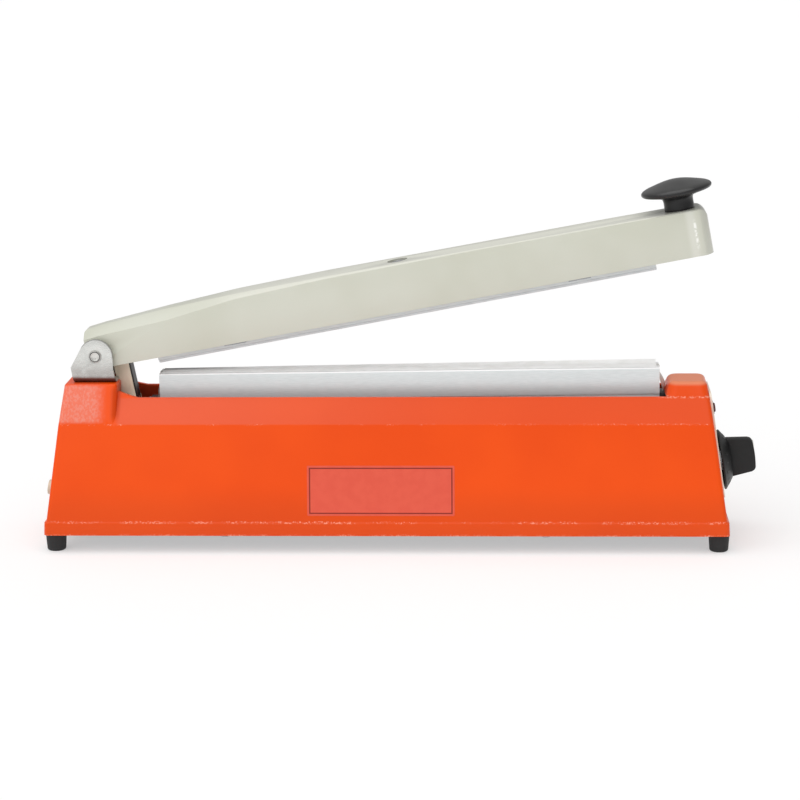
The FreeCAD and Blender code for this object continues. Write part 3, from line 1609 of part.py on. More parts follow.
def board_screws():
    """Screws up through the bottom plate and the posts into the board's corners."""
    length = plate_thickness + standoff_height + board_thickness + board_screw_end
    return [screw(small_screw, (x, y, foot_height), Z_AXIS, length) for x, y in board_screw_places()]


def relay():
    """Relay on the timer board."""
    low = board_low_z() + board_thickness
    length, width, height = relay_size
    x = board_x - board_length / 4
    body = box((x - length / 2, x + length / 2), (-width / 2, width / 2), (low, low + height))
    return body.makeFillet(1.0, [edge for edge in body.Edges if is_upright(edge)])


def capacitor():
    """Upright capacitor on the timer board."""
    low = board_low_z() + board_thickness
    x = board_x + capacitor_offset_x
    can = rod(capacitor_radius, (x, capacitor_y, low), Z_AXIS, capacitor_height)
    return can.makeFillet(0.8, [edge_nearest(can, Vector(x, capacitor_y, low + capacitor_height))])


def nodes():
    """Every piece by name. A list is a group of like pieces."""
    pieces = {
        "base_housing": base_housing(),
        "bottom_plate": bottom_plate(),
        "foot_screws": foot_screws(),
        "bottom_plate_screws": bottom_plate_screws(),
        "hinge_bracket": hinge_bracket(),
        "hinge_bracket_screws": bracket_screws(),
        "hinge_pin": hinge_pin(),
        "hinge_washers": hinge_washers(),
        "sealing_bar": sealing_bar(),
        "bar_stands": bar_stands(),
        "bar_screws": bar_screws(),
        "insulating_tape": insulating_tape(),
        "heating_element": heating_element(),
        "cover_cloth": cover_cloth(),
        "terminal_screws": terminal_screws(),
        "arm_stop": arm_stop(),
        "return_springs": return_springs(),
        "spring_seats": spring_seats(),
        "switch_body": switch_body(),
        "switch_bracket": switch_bracket(),
        "switch_screws": switch_screws(),
        "switch_lever": switch_lever(),
        "switch_button": switch_button(),
        "dial_plate": dial_plate(),
        "potentiometer": potentiometer(),
        "timer_nut": timer_nut(),
        "timer_shaft": timer_shaft(),
        "timer_knob": timer_knob(),
        "knob_pointer": knob_pointer(),
        "lamp_body": lamp_body(),
        "lamp_lens": lamp_lens(),
        "cord_gland": cord_gland(),
        "transformer_core": transformer_core(),
        "transformer_coil": transformer_coil(),
        "transformer_strap": transformer_strap(),
        "transformer_screws": transformer_screws(),
        "timer_board": timer_board(),
        "board_standoffs": board_standoffs(),
        "board_screws": board_screws(),
        "relay": relay(),
        "capacitor": capacitor(),
        "arm_shell": on_arm(arm_shell()),
        "arm_tongue": on_arm(arm_tongue()),
        "tongue_striker": on_arm(tongue_striker()),
        "striker_rivets": [on_arm(piece) for piece in striker_rivets()],
        "tongue_screws": [on_arm(piece) for piece in tongue_screws()],
        "arm_bush": on_arm(arm_bush()),
        "pad_holder": on_arm(pad_holder()),
        "silicone_pad": on_arm(silicone_pad()),
        "pad_screw": on_arm(pad_screw()),
        "holder_clips": [on_arm(piece) for piece in holder_clips()],
        "press_knob": on_arm(press_knob()),
        "press_knob_screw": on_arm(press_knob_screw()),
    }
    for name, (x, y) in foot_places().items():
        pieces[f"foot_{name}"] = foot(x, y)
    for name, side in (("left", -1), ("right", 1)):
        pieces[f"terminal_{name}"] = terminal(side)
    return pieces


def main():
    os.makedirs("parts", exist_ok=True)
    for name, piece in nodes().items():
        shape = Part.makeCompound(piece) if isinstance(piece, list) else piece
        if not shape.isValid():
            raise ValueError(f"{name} is not a valid shape")
        bounds = shape.BoundBox
        print(
            f"{name:22s} solids {len(shape.Solids)} volume {shape.Volume:10.1f}"
            f" x {bounds.XMin:7.1f} {bounds.XMax:7.1f} y {bounds.YMin:6.1f} {bounds.YMax:6.1f}"
            f" z {bounds.ZMin:6.1f} {bounds.ZMax:6.1f}"
        )
        shape.exportStep(f"parts/{name}.step")
    lever_open = lever_angle(open_angle)
    lever_closed = lever_angle(bar_tilt)
    button_travel = button_front_x(lever_open) - button_front_x(lever_closed)
    print(f"arm {close_travel} lever {lever_open:.4f} to {lever_closed:.4f} button {button_travel:.4f}")


main()
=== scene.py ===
"""Looks of the hand impulse sealer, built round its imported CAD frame, in metres."""

import json
import math

import bpy
from mathutils import Matrix, Quaternion, Vector

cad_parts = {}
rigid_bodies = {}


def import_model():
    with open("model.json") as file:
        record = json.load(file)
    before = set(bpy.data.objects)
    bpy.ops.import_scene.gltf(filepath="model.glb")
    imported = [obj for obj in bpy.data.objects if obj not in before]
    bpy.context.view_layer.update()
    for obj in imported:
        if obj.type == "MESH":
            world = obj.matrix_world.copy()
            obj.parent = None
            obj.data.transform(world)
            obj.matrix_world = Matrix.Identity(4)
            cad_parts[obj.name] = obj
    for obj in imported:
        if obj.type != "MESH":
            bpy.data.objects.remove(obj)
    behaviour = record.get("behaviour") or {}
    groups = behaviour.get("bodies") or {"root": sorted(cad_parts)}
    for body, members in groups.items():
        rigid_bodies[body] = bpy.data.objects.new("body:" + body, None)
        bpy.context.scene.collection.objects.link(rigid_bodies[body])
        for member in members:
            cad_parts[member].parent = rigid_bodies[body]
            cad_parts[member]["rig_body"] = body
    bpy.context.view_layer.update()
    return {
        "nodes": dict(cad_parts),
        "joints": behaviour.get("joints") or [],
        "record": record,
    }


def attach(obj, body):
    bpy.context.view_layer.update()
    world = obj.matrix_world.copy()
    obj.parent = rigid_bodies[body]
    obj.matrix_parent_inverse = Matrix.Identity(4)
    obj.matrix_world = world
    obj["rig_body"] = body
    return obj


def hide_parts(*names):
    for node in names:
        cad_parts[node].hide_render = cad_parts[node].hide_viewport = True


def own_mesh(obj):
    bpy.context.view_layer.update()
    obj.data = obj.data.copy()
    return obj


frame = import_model()
nodes = frame["nodes"]

# One millimetre in metres
MM = 0.001

# Places and slots that the CAD frame gives
joints = {joint["name"]: joint for joint in frame["joints"]}
pivot = Vector(joints["arm_hinge"]["pos_m"])
dial_centre = Vector(joints["timer_turn"]["pos_m"])
slot_of = {row["node"]: row["material_slot"] for row in frame["record"]["subparts"]}

# Slopes of the arm, the bar and the right end
arm_rise = math.radians(10.55)
bar_rise = math.radians(0.65)
end_draft = math.radians(8.2)

# Camera that matches the photograph
camera_target = Vector((1.35, 0.0, 88.85)) * MM
camera_yaw = math.radians(3.17)
camera_rise = math.radians(12.48)
camera_roll = math.radians(-0.76)
camera_distance = 1500 * MM
camera_lens = 107.3
sensor_width = 36.0

# Studio: the floor's side in metres, its glow, and the light
floor_size = 40
floor_glow = 0.38
sky_strength = 0.43
key_strength = 2.0
key_spread = math.radians(90)
key_from = (-0.24, -0.44, 0.87)

# Press knob, from the arm's pivot
knob_along = 372.4 * MM
knob_foot = 19.0 * MM
stem_radius = 9.5 * MM
cap_radius = 21.9 * MM
cap_low = 30.8 * MM
cap_edge_height = 3.7 * MM
knob_top = 39.1 * MM

# Timer knob, from the face of the right end
plate_thickness = 1.4 * MM
knob_gap = 1.2 * MM
skirt_radius = 18.9 * MM
skirt_rim = 1.2 * MM
skirt_height = 6.0 * MM
grip_base_radius = 12.6 * MM
grip_tip_radius = 10.9 * MM
grip_rise = 1.0 * MM
grip_width = 9.5 * MM
grip_tip_round = 2.8 * MM
grip_crease = 0.35 * MM
grip_edge = 0.6 * MM
knob_length = 21.4 * MM
number_height = 4.4 * MM
number_radius = 15.3 * MM
mark_relief = 0.12 * MM
dial_turn = math.radians(150)

# Sealing bar's top, from the arm's pivot
bar_start = 38.0 * MM
bar_length = 312.5 * MM
bar_top = -13.7 * MM
bar_end = bar_start + bar_length
bar_middle = bar_start + bar_length / 2
cloth_margin = 1.6 * MM
cloth_width = 14.0 * MM
cloth_length = bar_length - 2 * cloth_margin
cloth_level = 0.46 * MM
cloth_thickness = 0.10 * MM
cloth_lift = 1.9 * MM
cloth_ripple = 0.03 * MM
far_fold = 1.5 * MM
near_fold = 5.6 * MM
near_droop = 0.30 * MM
ribbon_bump = 0.16 * MM
ribbon_spread = 2.2 * MM
tape_width = 12.6 * MM
tape_level = 0.11 * MM
tape_thickness = 0.16 * MM
ribbon_width = 3.0 * MM
ribbon_level = 0.3 * MM
ribbon_thickness = 0.2 * MM
terminal_drop = 16.5 * MM
far_edge_shade_length = 61.0 * MM

# Scale of the cloths' wave texture, for a thread every 0.76 mm
weave_scale = 413.8

# Bare film on the front panel
film_left = -55.0 * MM
film_right = 36.4 * MM
film_low = 24.1 * MM
film_high = 55.1 * MM
film_thickness = 0.12 * MM
film_corner = 0.8 * MM
film_edge = 0.04 * MM
film_margin = 1.2 * MM
film_line = 0.8 * MM

# Front panel: distance in front of the middle and height, at its foot and its top
panel_low = (40.0 * MM, 20.2 * MM)
panel_high = (32.0 * MM, 80.2 * MM)

# Places in the housing's paint, in x or in z: painted shade low on the front panel, on the upper band and in
# the folded corner by the left shoulder; painted highlights with wear along the creases; painted sheen over
# the shoulders
low_shade_z = (46.0 * MM, 22.0 * MM)
lip_z = (11.0 * MM, 12.4 * MM)
ledge_z = (19.2 * MM, 20.6 * MM)
bend_z = (79.9 * MM, 80.7 * MM)
band_x = (-175.0 * MM, -171.5 * MM)
band_z = (80.5 * MM, 95.0 * MM)
shoulder_x = (-216.0 * MM, -184.0 * MM)
shoulder_z = (81.5 * MM, 103.5 * MM)
fold_x = (-177.2 * MM, -172.2 * MM)
fold_z = (83.5 * MM, 102.0 * MM)
crown_x = (166.5 * MM, 193.5 * MM)
crown_z = (100.4 * MM, 102.6 * MM)
crown_foot_x = (160.0 * MM, 168.0 * MM)
crown_foot_z = (94.6 * MM, 95.6 * MM)

# Hinge bracket: where its painted shade lies, and its ears' round top from the arm's pivot
bracket_foot_shade_z = (122.5 * MM, 108.0 * MM)
bracket_bend_shade_z = (109.2 * MM, 106.2 * MM)
bracket_bend_shade_y = (14.8 * MM, 16.6 * MM)
pin_shade_radii = (4.6 * MM, 3.7 * MM)
pin_ring = (2.7 * MM, 3.4 * MM)
ear_along = 0.4 * MM
ear_up = 0.3 * MM
ear_radius = 10.5 * MM

# Recess of the pad screw on top of the arm, from the arm's pivot
pad_screw_along = 195.5 * MM
recess_radius = 6.4 * MM

# Painted glint down the corner of the arm's nose, from the arm's pivot
nose_glint = 379.2 * MM

# Screws: thread radius, head radius, head height
small_screw = (1.5 * MM, 2.8 * MM, 1.8 * MM)
medium_screw = (2.0 * MM, 3.7 * MM, 2.3 * MM)
large_screw = (2.5 * MM, 4.4 * MM, 2.8 * MM)
screw_pitch = 0.8 * MM

# Screw places, in mm
foot_screw_x = (-214.3, 199.7)
foot_screw_y = (-31.0, 31.0)
plate_screw_x = (-107.3, 92.7)
plate_screw_y = (-32.8, 32.8)
board_screw_x = (98.0, 158.0)
board_screw_y = (-18.0, 18.0)
transformer_screw_x = (-80.2, 0.2)
bracket_screw_x = -195.45
bracket_screw_y = (-8.5, 8.5)
tongue_screw_along = (24.0, 33.5)
terminal_screw_inset = 7.0
plate_face = 11.5


# Modelling by hand

def rest_selection():
    """Leaves edit mode with nothing selected, so that an operator acts on one piece alone."""
    if bpy.context.object and bpy.context.object.mode != "OBJECT":
        bpy.ops.object.mode_set(mode="OBJECT")
    bpy.ops.object.select_all(action="DESELECT")


def take(piece):
    """Selects one piece and makes it active."""
    rest_selection()
    piece.select_set(True)
    bpy.context.view_layer.objects.active = piece
    return piece


def named(name):
    """Names the piece that an operator has just added."""
    piece = bpy.context.object
    piece.name = name
    piece.data.name = name
    return piece


def settle(piece, place=None):
    """Moves the place of a piece into its mesh, after an optional move to its own frame."""
    take(piece)
    if place is not None:
        piece.matrix_world = place @ piece.matrix_world
    bpy.ops.object.transform_apply(location=True, rotation=True, scale=True)
    return piece


def choose(piece, kind, test):
    """Selects in edit mode the vertices of a piece by their place, or its faces by their normal."""
    take(piece)
    bpy.ops.object.mode_set(mode="EDIT")
    bpy.ops.mesh.select_mode(type=kind)
    bpy.ops.mesh.select_all(action="DESELECT")
    bpy.ops.object.mode_set(mode="OBJECT")
    mesh = piece.data
    if kind == "VERT":
        for vertex in mesh.vertices:
            vertex.select = test(vertex.co)
    if kind == "FACE":
        for face in mesh.polygons:
            face.select = test(face.normal)
    bpy.ops.object.mode_set(mode="EDIT")


def finished(piece, kind, **settings):
    """Adds a modifier and applies it."""
    take(piece)
    modifier = piece.modifiers.new(kind.title(), kind)
    for key, value in settings.items():
        setattr(modifier, key, value)
    bpy.ops.object.modifier_apply(modifier=modifier.name)
    return piece


def smoothed(piece, angle):
    """Shades a piece smooth across edges flatter than an angle."""
    take(piece)
    bpy.ops.object.shade_smooth_by_angle(angle=math.radians(angle))
    return piece


def turned(name, profile, sides):
    """Round piece about Z: a circle drawn out from each radius and height to the next."""
    rest_selection()
    radius, height = profile[0]
    bpy.ops.mesh.primitive_circle_add(vertices=sides, radius=max(radius, 1e-6), location=(0, 0, height))
    piece = settle(named(name))
    choose(piece, "VERT", lambda place: True)
    for (here, low), (there, high) in zip(profile, profile[1:]):
        bpy.ops.mesh.extrude_region_move(TRANSFORM_OT_translate={"value": (0, 0, high - low)})
        share = max(there, 1e-6) / max(here, 1e-6)
        bpy.ops.transform.resize(value=(share, share, 1))
    bpy.ops.mesh.select_all(action="SELECT")
    bpy.ops.mesh.remove_doubles(threshold=5e-6)
    bpy.ops.mesh.normals_make_consistent(inside=False)
    rest_selection()
    return piece


def copied(piece, name, place):
    """A copy with its own mesh, moved to a frame."""
    copy = piece.copy()
    copy.data = piece.data.copy()
    copy.name = name
    bpy.context.scene.collection.objects.link(copy)
    return settle(copy, place)


def joined(pieces):
    """One piece from several."""
    rest_selection()
    for piece in pieces:
        piece.select_set(True)
    bpy.context.view_layer.objects.active = pieces[0]
    if len(pieces) > 1:
        bpy.ops.object.join()
    return pieces[0]


def removed(piece):
    """Takes away a tool that has done its cutting."""
    mesh = piece.data
    bpy.data.objects.remove(piece)
    bpy.data.meshes.remove(mesh)


def pan_screw(size, length, pitch):
    """Pan head screw with a cross recess, its head's underside at the origin and its head up."""
    thread, head, height = size
    root = 0.8 * thread
    profile = [(0.0, -length), (0.6 * thread, -length), (root, -length + 0.5 * thread)]
    level = -length + 0.5 * thread
    while level + pitch < -0.3 * thread:
        profile += [(thread, level + 0.5 * pitch), (root, level + pitch)]
        level += pitch
    profile += [
        (thread, -0.2 * thread),
        (thread, 0.0),
        (0.96 * head, 0.0),
        (head, 0.08 * height),
        (head, 0.45 * height),
        (0.94 * head, 0.72 * height),
        (0.78 * head, 0.92 * height),
        (0.50 * head, height),
        (0.0, height),
    ]
    screw = turned("screw", profile, 28)
    tooth = 0.20 * head
    reach = 0.34 * head
    rest_selection()
    bpy.ops.mesh.primitive_cube_add(size=1, location=(0, 0, height))
    cutter = named("screw_recess")
    cutter.scale = (tooth, tooth, 0.9 * height)
    settle(cutter)
    for way in ((1, 0, 0), (-1, 0, 0), (0, 1, 0), (0, -1, 0)):
        choose(cutter, "FACE", lambda normal: normal.dot(Vector(way)) > 0.9)
        bpy.ops.mesh.extrude_region_move(TRANSFORM_OT_translate={"value": Vector(way) * reach})
    choose(cutter, "FACE", lambda normal: normal.z < -0.9)
    bpy.ops.transform.resize(value=(0.72, 0.72, 1))
    rest_selection()
    finished(screw, "BOOLEAN", operation="DIFFERENCE", solver="EXACT", object=cutter)
    removed(cutter)
    return smoothed(screw, 38)


def flat_outline(name, outline, thickness):
    """Flat plate from an outline, standing up from its own plane."""
    rest_selection()
    bpy.ops.mesh.primitive_circle_add(vertices=len(outline), radius=1, fill_type="NGON")
    piece = named(name)
    for vertex, (x, y) in zip(piece.data.vertices, outline):
        vertex.co = (x, y, 0.0)
    take(piece)
    bpy.ops.object.mode_set(mode="EDIT")
    bpy.ops.mesh.select_all(action="SELECT")
    bpy.ops.mesh.extrude_region_move(TRANSFORM_OT_translate={"value": (0, 0, thickness)})
    bpy.ops.mesh.select_all(action="SELECT")
    bpy.ops.mesh.normals_make_consistent(inside=False)
    rest_selection()
    return piece


def softened(node, width, segments):
    """Copy of a CAD node with its sharp edges rounded."""
    piece = bpy.data.objects.new(node + "_soft", nodes[node].data.copy())
    bpy.context.scene.collection.objects.link(piece)
    take(piece)
    bpy.ops.mesh.customdata_custom_splitnormals_clear()
    bpy.ops.object.mode_set(mode="EDIT")
    bpy.ops.mesh.select_all(action="SELECT")
    bpy.ops.mesh.remove_doubles(threshold=2e-6)
    bpy.ops.mesh.dissolve_limited(angle_limit=math.radians(0.5))
    rest_selection()
    finished(
        piece, "BEVEL", width=width, segments=segments, limit_method="ANGLE",
        angle_limit=math.radians(25), use_clamp_overlap=True, harden_normals=False,
    )
    return smoothed(piece, 32)


# Frames of the arm, the bar and the right end

arm_frame = Matrix.Translation(pivot) @ Matrix.Rotation(-arm_rise, 4, "Y")
bar_frame = Matrix.Translation(pivot) @ Matrix.Rotation(-bar_rise, 4, "Y")
end_frame = Matrix.Translation(dial_centre) @ Matrix.Rotation(-end_draft, 4, "Y")
outwards = Matrix.Rotation(math.radians(90), 4, "Y")


# Finishes

def linear(shade):
    """Linear red, green and blue of a colour written as six hex digits."""
    parts = [int(shade[start:start + 2], 16) / 255 for start in (0, 2, 4)]
    return tuple(part / 12.92 if part <= 0.04045 else ((part + 0.055) / 1.055) ** 2.4 for part in parts)


def new_finish(name, shade, roughness, metallic=0.0, specular=0.5):
    """A material whose even values sit on its shader's own sockets."""
    finish = bpy.data.materials.new(name)
    finish.use_nodes = True
    shader = finish.node_tree.nodes["Principled BSDF"]
    shader.inputs["Base Color"].default_value = (*linear(shade), 1)
    shader.inputs["Roughness"].default_value = roughness
    shader.inputs["Metallic"].default_value = metallic
    shader.inputs["Specular IOR Level"].default_value = specular
    return finish


def shader_of(finish):
    return finish.node_tree.nodes["Principled BSDF"]


def add(finish, kind, sockets=None, **settings):
    """A new node with its settings, and its sockets set or linked."""
    node = finish.node_tree.nodes.new("ShaderNode" + kind)
    for key, value in settings.items():
        setattr(node, key, value)
    for socket, value in (sockets or {}).items():
        if isinstance(value, bpy.types.NodeSocket):
            finish.node_tree.links.new(value, node.inputs[socket])
        else:
            node.inputs[socket].default_value = value
    return node


def feed(finish, value, socket):
    """Links a value to one of the shader's sockets."""
    finish.node_tree.links.new(value, shader_of(finish).inputs[socket])


def place_of(finish):
    return add(finish, "TexCoord").outputs["Object"]


def cloud(finish, scale, detail, place=None, stretch=None):
    """Grey noise with features of about 1 / scale metres."""
    place = place or place_of(finish)
    if stretch:
        place = add(finish, "Mapping", {"Vector": place, "Scale": stretch}).outputs["Vector"]
    sockets = {"Vector": place, "Scale": scale, "Detail": detail}
    return add(finish, "TexNoise", sockets).outputs["Fac"]


def between(finish, value, low, high, to_low=0.0, to_high=1.0):
    """Value mapped smoothly from one range to another."""
    sockets = {"Value": value, "From Min": low, "From Max": high, "To Min": to_low, "To Max": to_high}
    return add(finish, "MapRange", sockets, interpolation_type="SMOOTHSTEP").outputs["Result"]


def times(finish, first, second):
    return add(finish, "Math", {0: first, 1: second}, operation="MULTIPLY").outputs[0]


def most(finish, first, second):
    return add(finish, "Math", {0: first, 1: second}, operation="MAXIMUM").outputs[0]


def blended(finish, share, first, second):
    """Colour between two, each a hex shade or a socket."""
    ends = [(*linear(end), 1) if isinstance(end, str) else end for end in (first, second)]
    mix = add(finish, "MixRGB", {0: share, 1: ends[0], 2: ends[1]})
    return mix.outputs[0]


def stained(finish, paint, where, share, shade):
    """Paint with a share of another shade where a mask is 1."""
    return blended(finish, times(finish, where, share), paint, shade)


def bumped(finish, height, strength, depth):
    """Surface relief of a depth in metres."""
    bump = add(finish, "Bump", {"Height": height, "Strength": strength, "Distance": depth})
    feed(finish, bump.outputs["Normal"], "Normal")


def span(finish, value, low, high, blur):
    """1 between two values and 0 outside, with soft edges."""
    rise = between(finish, value, low - blur, low + blur)
    fall = between(finish, value, high - blur, high + blur, 1.0, 0.0)
    return times(finish, rise, fall)


def paint_of(finish):
    """What the shader's colour socket reads so far."""
    return shader_of(finish).inputs["Base Color"].links[0].from_socket


def split(finish, place=None):
    """The three coordinates of a place."""
    return add(finish, "SeparateXYZ", {"Vector": place or place_of(finish)}).outputs


def from_hinge(finish, rise):
    """Distances along, across and above a part that rises at an angle from the hinge's axis."""
    away = add(finish, "VectorMath", {0: place_of(finish), 1: -pivot}, operation="ADD").outputs["Vector"]
    level = add(finish, "Mapping", {"Vector": away, "Rotation": (0, rise, 0)}).outputs["Vector"]
    return split(finish, level)


def distance(finish, first, second, first_middle=0.0, second_middle=0.0):
    """Distance from an axis, from the two coordinates across it and those of the axis."""
    over = add(finish, "Math", {0: first, 1: -first_middle}, operation="ADD").outputs[0]
    above = add(finish, "Math", {0: second, 1: -second_middle}, operation="ADD").outputs[0]
    flat = add(finish, "CombineXYZ", {"X": over, "Y": above, "Z": 0.0}).outputs[0]
    return add(finish, "VectorMath", {0: flat}, operation="LENGTH").outputs["Value"]


def orange_enamel():
    """Gloss enamel over a casting: fine peel, pale specks along its creases that are painted highlight mixed
    with wear, and painted shade and sheen in places.
    """
    finish = new_finish("orange_enamel", "F04F07", 0.34, specular=0.22)
    place = place_of(finish)
    x, y, z = split(finish, place)
    grit = cloud(finish, 900, 4, place)
    tone = between(finish, cloud(finish, 14, 2, place), 0.35, 0.65)
    paint = blended(finish, tone, "EB4C06", "F15108")
    # Painted shade: the front darker towards its foot
    paint = stained(finish, paint, between(finish, z, *low_shade_z), 0.45, "D04712")

    # Painted shade on the upper band's face
    band = times(finish, span(finish, z, *band_z, 0.6 * MM), between(finish, x, *band_x))
    paint = stained(finish, paint, band, 0.45, "DC4A14")
    # Band paler and pinker towards the left end
    band_pale_share = between(finish, x, 100 * MM, -200 * MM, 0.0, 0.12)
    paint = stained(finish, paint, band, band_pale_share, "F29F90")
    # Painted shade in the folded corner beside the left shoulder
    fold_shade = times(finish, span(finish, x, *fold_x, 1.2 * MM), span(finish, z, *fold_z, 3.0 * MM))
    paint = stained(finish, paint, fold_shade, 0.6, "C43C06")

    # Painted highlight along the creases at the bend, the ledge, the lip and the foot of the right shoulder,
    # broken into pale specks with wear
    bend = times(finish, span(finish, z, *bend_z, 0.5 * MM), between(finish, grit, 0.53, 0.66))
    bend_gaps = between(finish, cloud(finish, 60, 2, place), 0.46, 0.62)
    bend = times(finish, bend, most(finish, between(finish, x, 90 * MM, 150 * MM), bend_gaps))
    ledge = times(finish, span(finish, z, *ledge_z, 0.4 * MM), between(finish, grit, 0.50, 0.60))
    lip = times(finish, span(finish, z, *lip_z, 0.4 * MM), between(finish, grit, 0.46, 0.60))
    foot_gaps = between(finish, cloud(finish, 75, 3, place), 0.40, 0.62)
    foot = times(finish, most(finish, ledge, lip), foot_gaps)
    crown_foot = times(finish, span(finish, z, *crown_foot_z, 0.3 * MM), between(finish, x, *crown_foot_x))
    crown_foot = times(finish, crown_foot, between(finish, grit, 0.48, 0.58))
    crease_highlight_and_wear = most(finish, bend, most(finish, foot, crown_foot))
    paint = stained(finish, paint, crease_highlight_and_wear, 0.60, "FFB79C")

    shoulder = times(finish, span(finish, x, *shoulder_x, 5.0 * MM), span(finish, z, *shoulder_z, 1.2 * MM))
    sheen_streaks = between(finish, cloud(finish, 760, 6, place, (1.0, 1.0, 0.62)), 0.42, 0.62)
    # Painted sheen: a pale pinkish tone and streaks over the left shoulder's bumpy paint
    paint = stained(finish, paint, shoulder, 0.38, "EDA08E")
    paint = stained(finish, paint, times(finish, shoulder, sheen_streaks), 0.26, "EAB0A6")
    # Painted reflection: the right shoulder's top paler
    crown_sheen = times(finish, span(finish, x, *crown_x, 3.0 * MM), between(finish, z, *crown_z))
    feed(finish, stained(finish, paint, crown_sheen, 0.52, "EEB48E"), "Base Color")

    peel = cloud(finish, 420, 3, place)
    relief = add(finish, "Math", {0: times(finish, shoulder, 2.2), 1: 0.5}, operation="ADD").outputs[0]
    bumped(finish, times(finish, peel, relief), 0.35, 0.3 * MM)
    return finish


def cream_enamel():
    """Gloss enamel of the arm: painted light on its top face, painted shade in the screw's recess, and a
    painted highlight, shade and glint at its nose.
    """
    finish = new_finish("cream_enamel", "D3D4C6", 0.30, specular=0.45)
    tone = between(finish, cloud(finish, 22, 2), 0.3, 0.7)
    paint = blended(finish, tone, "CCCDBE", "D2D3C6")
    along, side, up = from_hinge(finish, arm_rise)
    sideways = add(finish, "Math", {0: side}, operation="ABSOLUTE").outputs[0]
    top_face = between(finish, sideways, 14.9 * MM, 14.3 * MM)
    # Painted light: the arm's top face lighter than its sides
    lit_top = times(finish, top_face, between(finish, along, 60 * MM, 110 * MM))
    lit_top = times(finish, lit_top, between(finish, along, nose_glint, nose_glint - 6.0 * MM))
    paint = blended(finish, lit_top, paint, "DCDCD0")
    from_screw = distance(finish, along, side, pad_screw_along)
    # Painted shade in the pad screw's recess
    recess = between(finish, from_screw, recess_radius + 0.15 * MM, recess_radius - 0.05 * MM)
    paint = stained(finish, paint, recess, 0.6, "66675C")
    # Painted highlight beside the nose's rounded corner
    nose_highlight = span(finish, along, nose_glint - 4.5 * MM, nose_glint + 0.5 * MM, 2.0 * MM)
    paint = stained(finish, paint, nose_highlight, 0.30, "F2F2EC")
    # Painted shade past the nose's corner, where it faces away
    nose_shade = between(finish, along, nose_glint + 1.5 * MM, nose_glint + 6.0 * MM)
    paint = stained(finish, paint, nose_shade, 0.35, "B0B0A8")
    # Painted glint down the nose's corner, broken into specks
    corner = span(finish, along, nose_glint - 0.7 * MM, nose_glint + 0.7 * MM, 0.6 * MM)
    glint_specks = between(finish, cloud(finish, 700, 4), 0.40, 0.56)
    glint = times(finish, times(finish, corner, glint_specks), span(finish, up, -3.0 * MM, 13.0 * MM, 2.5 * MM))
    feed(finish, stained(finish, paint, glint, 0.85, "FFFFFA"), "Base Color")
    bumped(finish, cloud(finish, 350, 3), 0.18, 0.2 * MM)
    return finish


def plain_enamel(name, shade, other, roughness):
    """Paint with a slight cloud in its tone."""
    finish = new_finish(name, shade, roughness)
    tone = between(finish, cloud(finish, 70, 3), 0.35, 0.65)
    feed(finish, blended(finish, tone, shade, other), "Base Color")
    bumped(finish, cloud(finish, 600, 3), 0.15, 0.2 * MM)
    return finish


def brushed_metal(name, shade, other, roughness, stretch, metallic=1.0):
    """Metal with fine lines along one direction."""
    finish = new_finish(name, shade, roughness, metallic=metallic)
    lines = cloud(finish, 300, 4, stretch=stretch)
    feed(finish, blended(finish, between(finish, lines, 0.35, 0.65), shade, other), "Base Color")
    feed(finish, between(finish, lines, 0.3, 0.7, roughness - 0.05, roughness + 0.08), "Roughness")
    bumped(finish, lines, 0.25, 0.05 * MM)
    return finish


def drawn_bar():
    """Drawn aluminium with painted light: a painted highlight along its upper edges, and its sides painted
    darker just below them than lower down, where the trough shades them.
    """
    finish = brushed_metal("bar_aluminium", "F2FAFB", "E7F0F1", 0.40, (0.6, 14, 14), metallic=0.12)
    up = from_hinge(finish, bar_rise)["Z"]
    # Painted light: the sides lighter lower down, where the trough shades them, than near the top
    upper = between(finish, up, bar_top - 9.0 * MM, bar_top - 2.0 * MM)
    paint = stained(finish, paint_of(finish), upper, 0.25, "C9CAC8")
    # Painted highlight along the upper edges
    edge = span(finish, up, bar_top - 0.65 * MM, bar_top + 1.0 * MM, 0.25 * MM)
    feed(finish, blended(finish, edge, paint, "FFFFFF"), "Base Color")
    return finish


def stained_bracket():
    """Polished sheet with painted shade: darker towards its foot, darkest and reddish in its bend, dark
    round its pin and along its ears' top.
    """
    finish = brushed_metal("bracket_steel", "E4E5E1", "D5D6D2", 0.30, (1, 14, 14), metallic=0.55)
    x, y, z = split(finish)
    haze = between(finish, cloud(finish, 180, 3), 0.25, 0.6, 0.6, 1.0)
    # Painted shade: darker towards the foot
    foot_shade = times(finish, between(finish, z, *bracket_foot_shade_z), haze)
    paint = stained(finish, paint_of(finish), foot_shade, 0.58, "8E8885")
    sideways = add(finish, "Math", {0: y}, operation="ABSOLUTE").outputs[0]
    # Painted shade, dark and reddish, in the bend at the foot
    bend_shade = times(finish, between(finish, z, *bracket_bend_shade_z), between(finish, sideways, *bracket_bend_shade_y))
    paint = stained(finish, paint, bend_shade, 0.88, "4A2A24")
    # Painted shade in a ring round the pin's head
    rim = between(finish, distance(finish, x, z, pivot.x, pivot.z), *pin_shade_radii)
    paint = stained(finish, paint, rim, 0.35, "6A625E")
    from_ear = distance(finish, x, z, pivot.x + ear_along, pivot.z + ear_up)
    # Painted shade: a dark line along the ears' round top edge
    outline = between(finish, from_ear, ear_radius - 0.7 * MM, ear_radius - 0.2 * MM)
    left_side = between(finish, x, pivot.x + 4.0 * MM, pivot.x, 0.0, 7.0 * MM)
    height = add(finish, "Math", {0: z, 1: left_side}, operation="SUBTRACT").outputs[0]
    outline = times(finish, outline, between(finish, height, pivot.z - 2.0 * MM, pivot.z - 0.5 * MM))
    feed(finish, stained(finish, paint, outline, 0.6, "5E5A58"), "Base Color")
    return finish


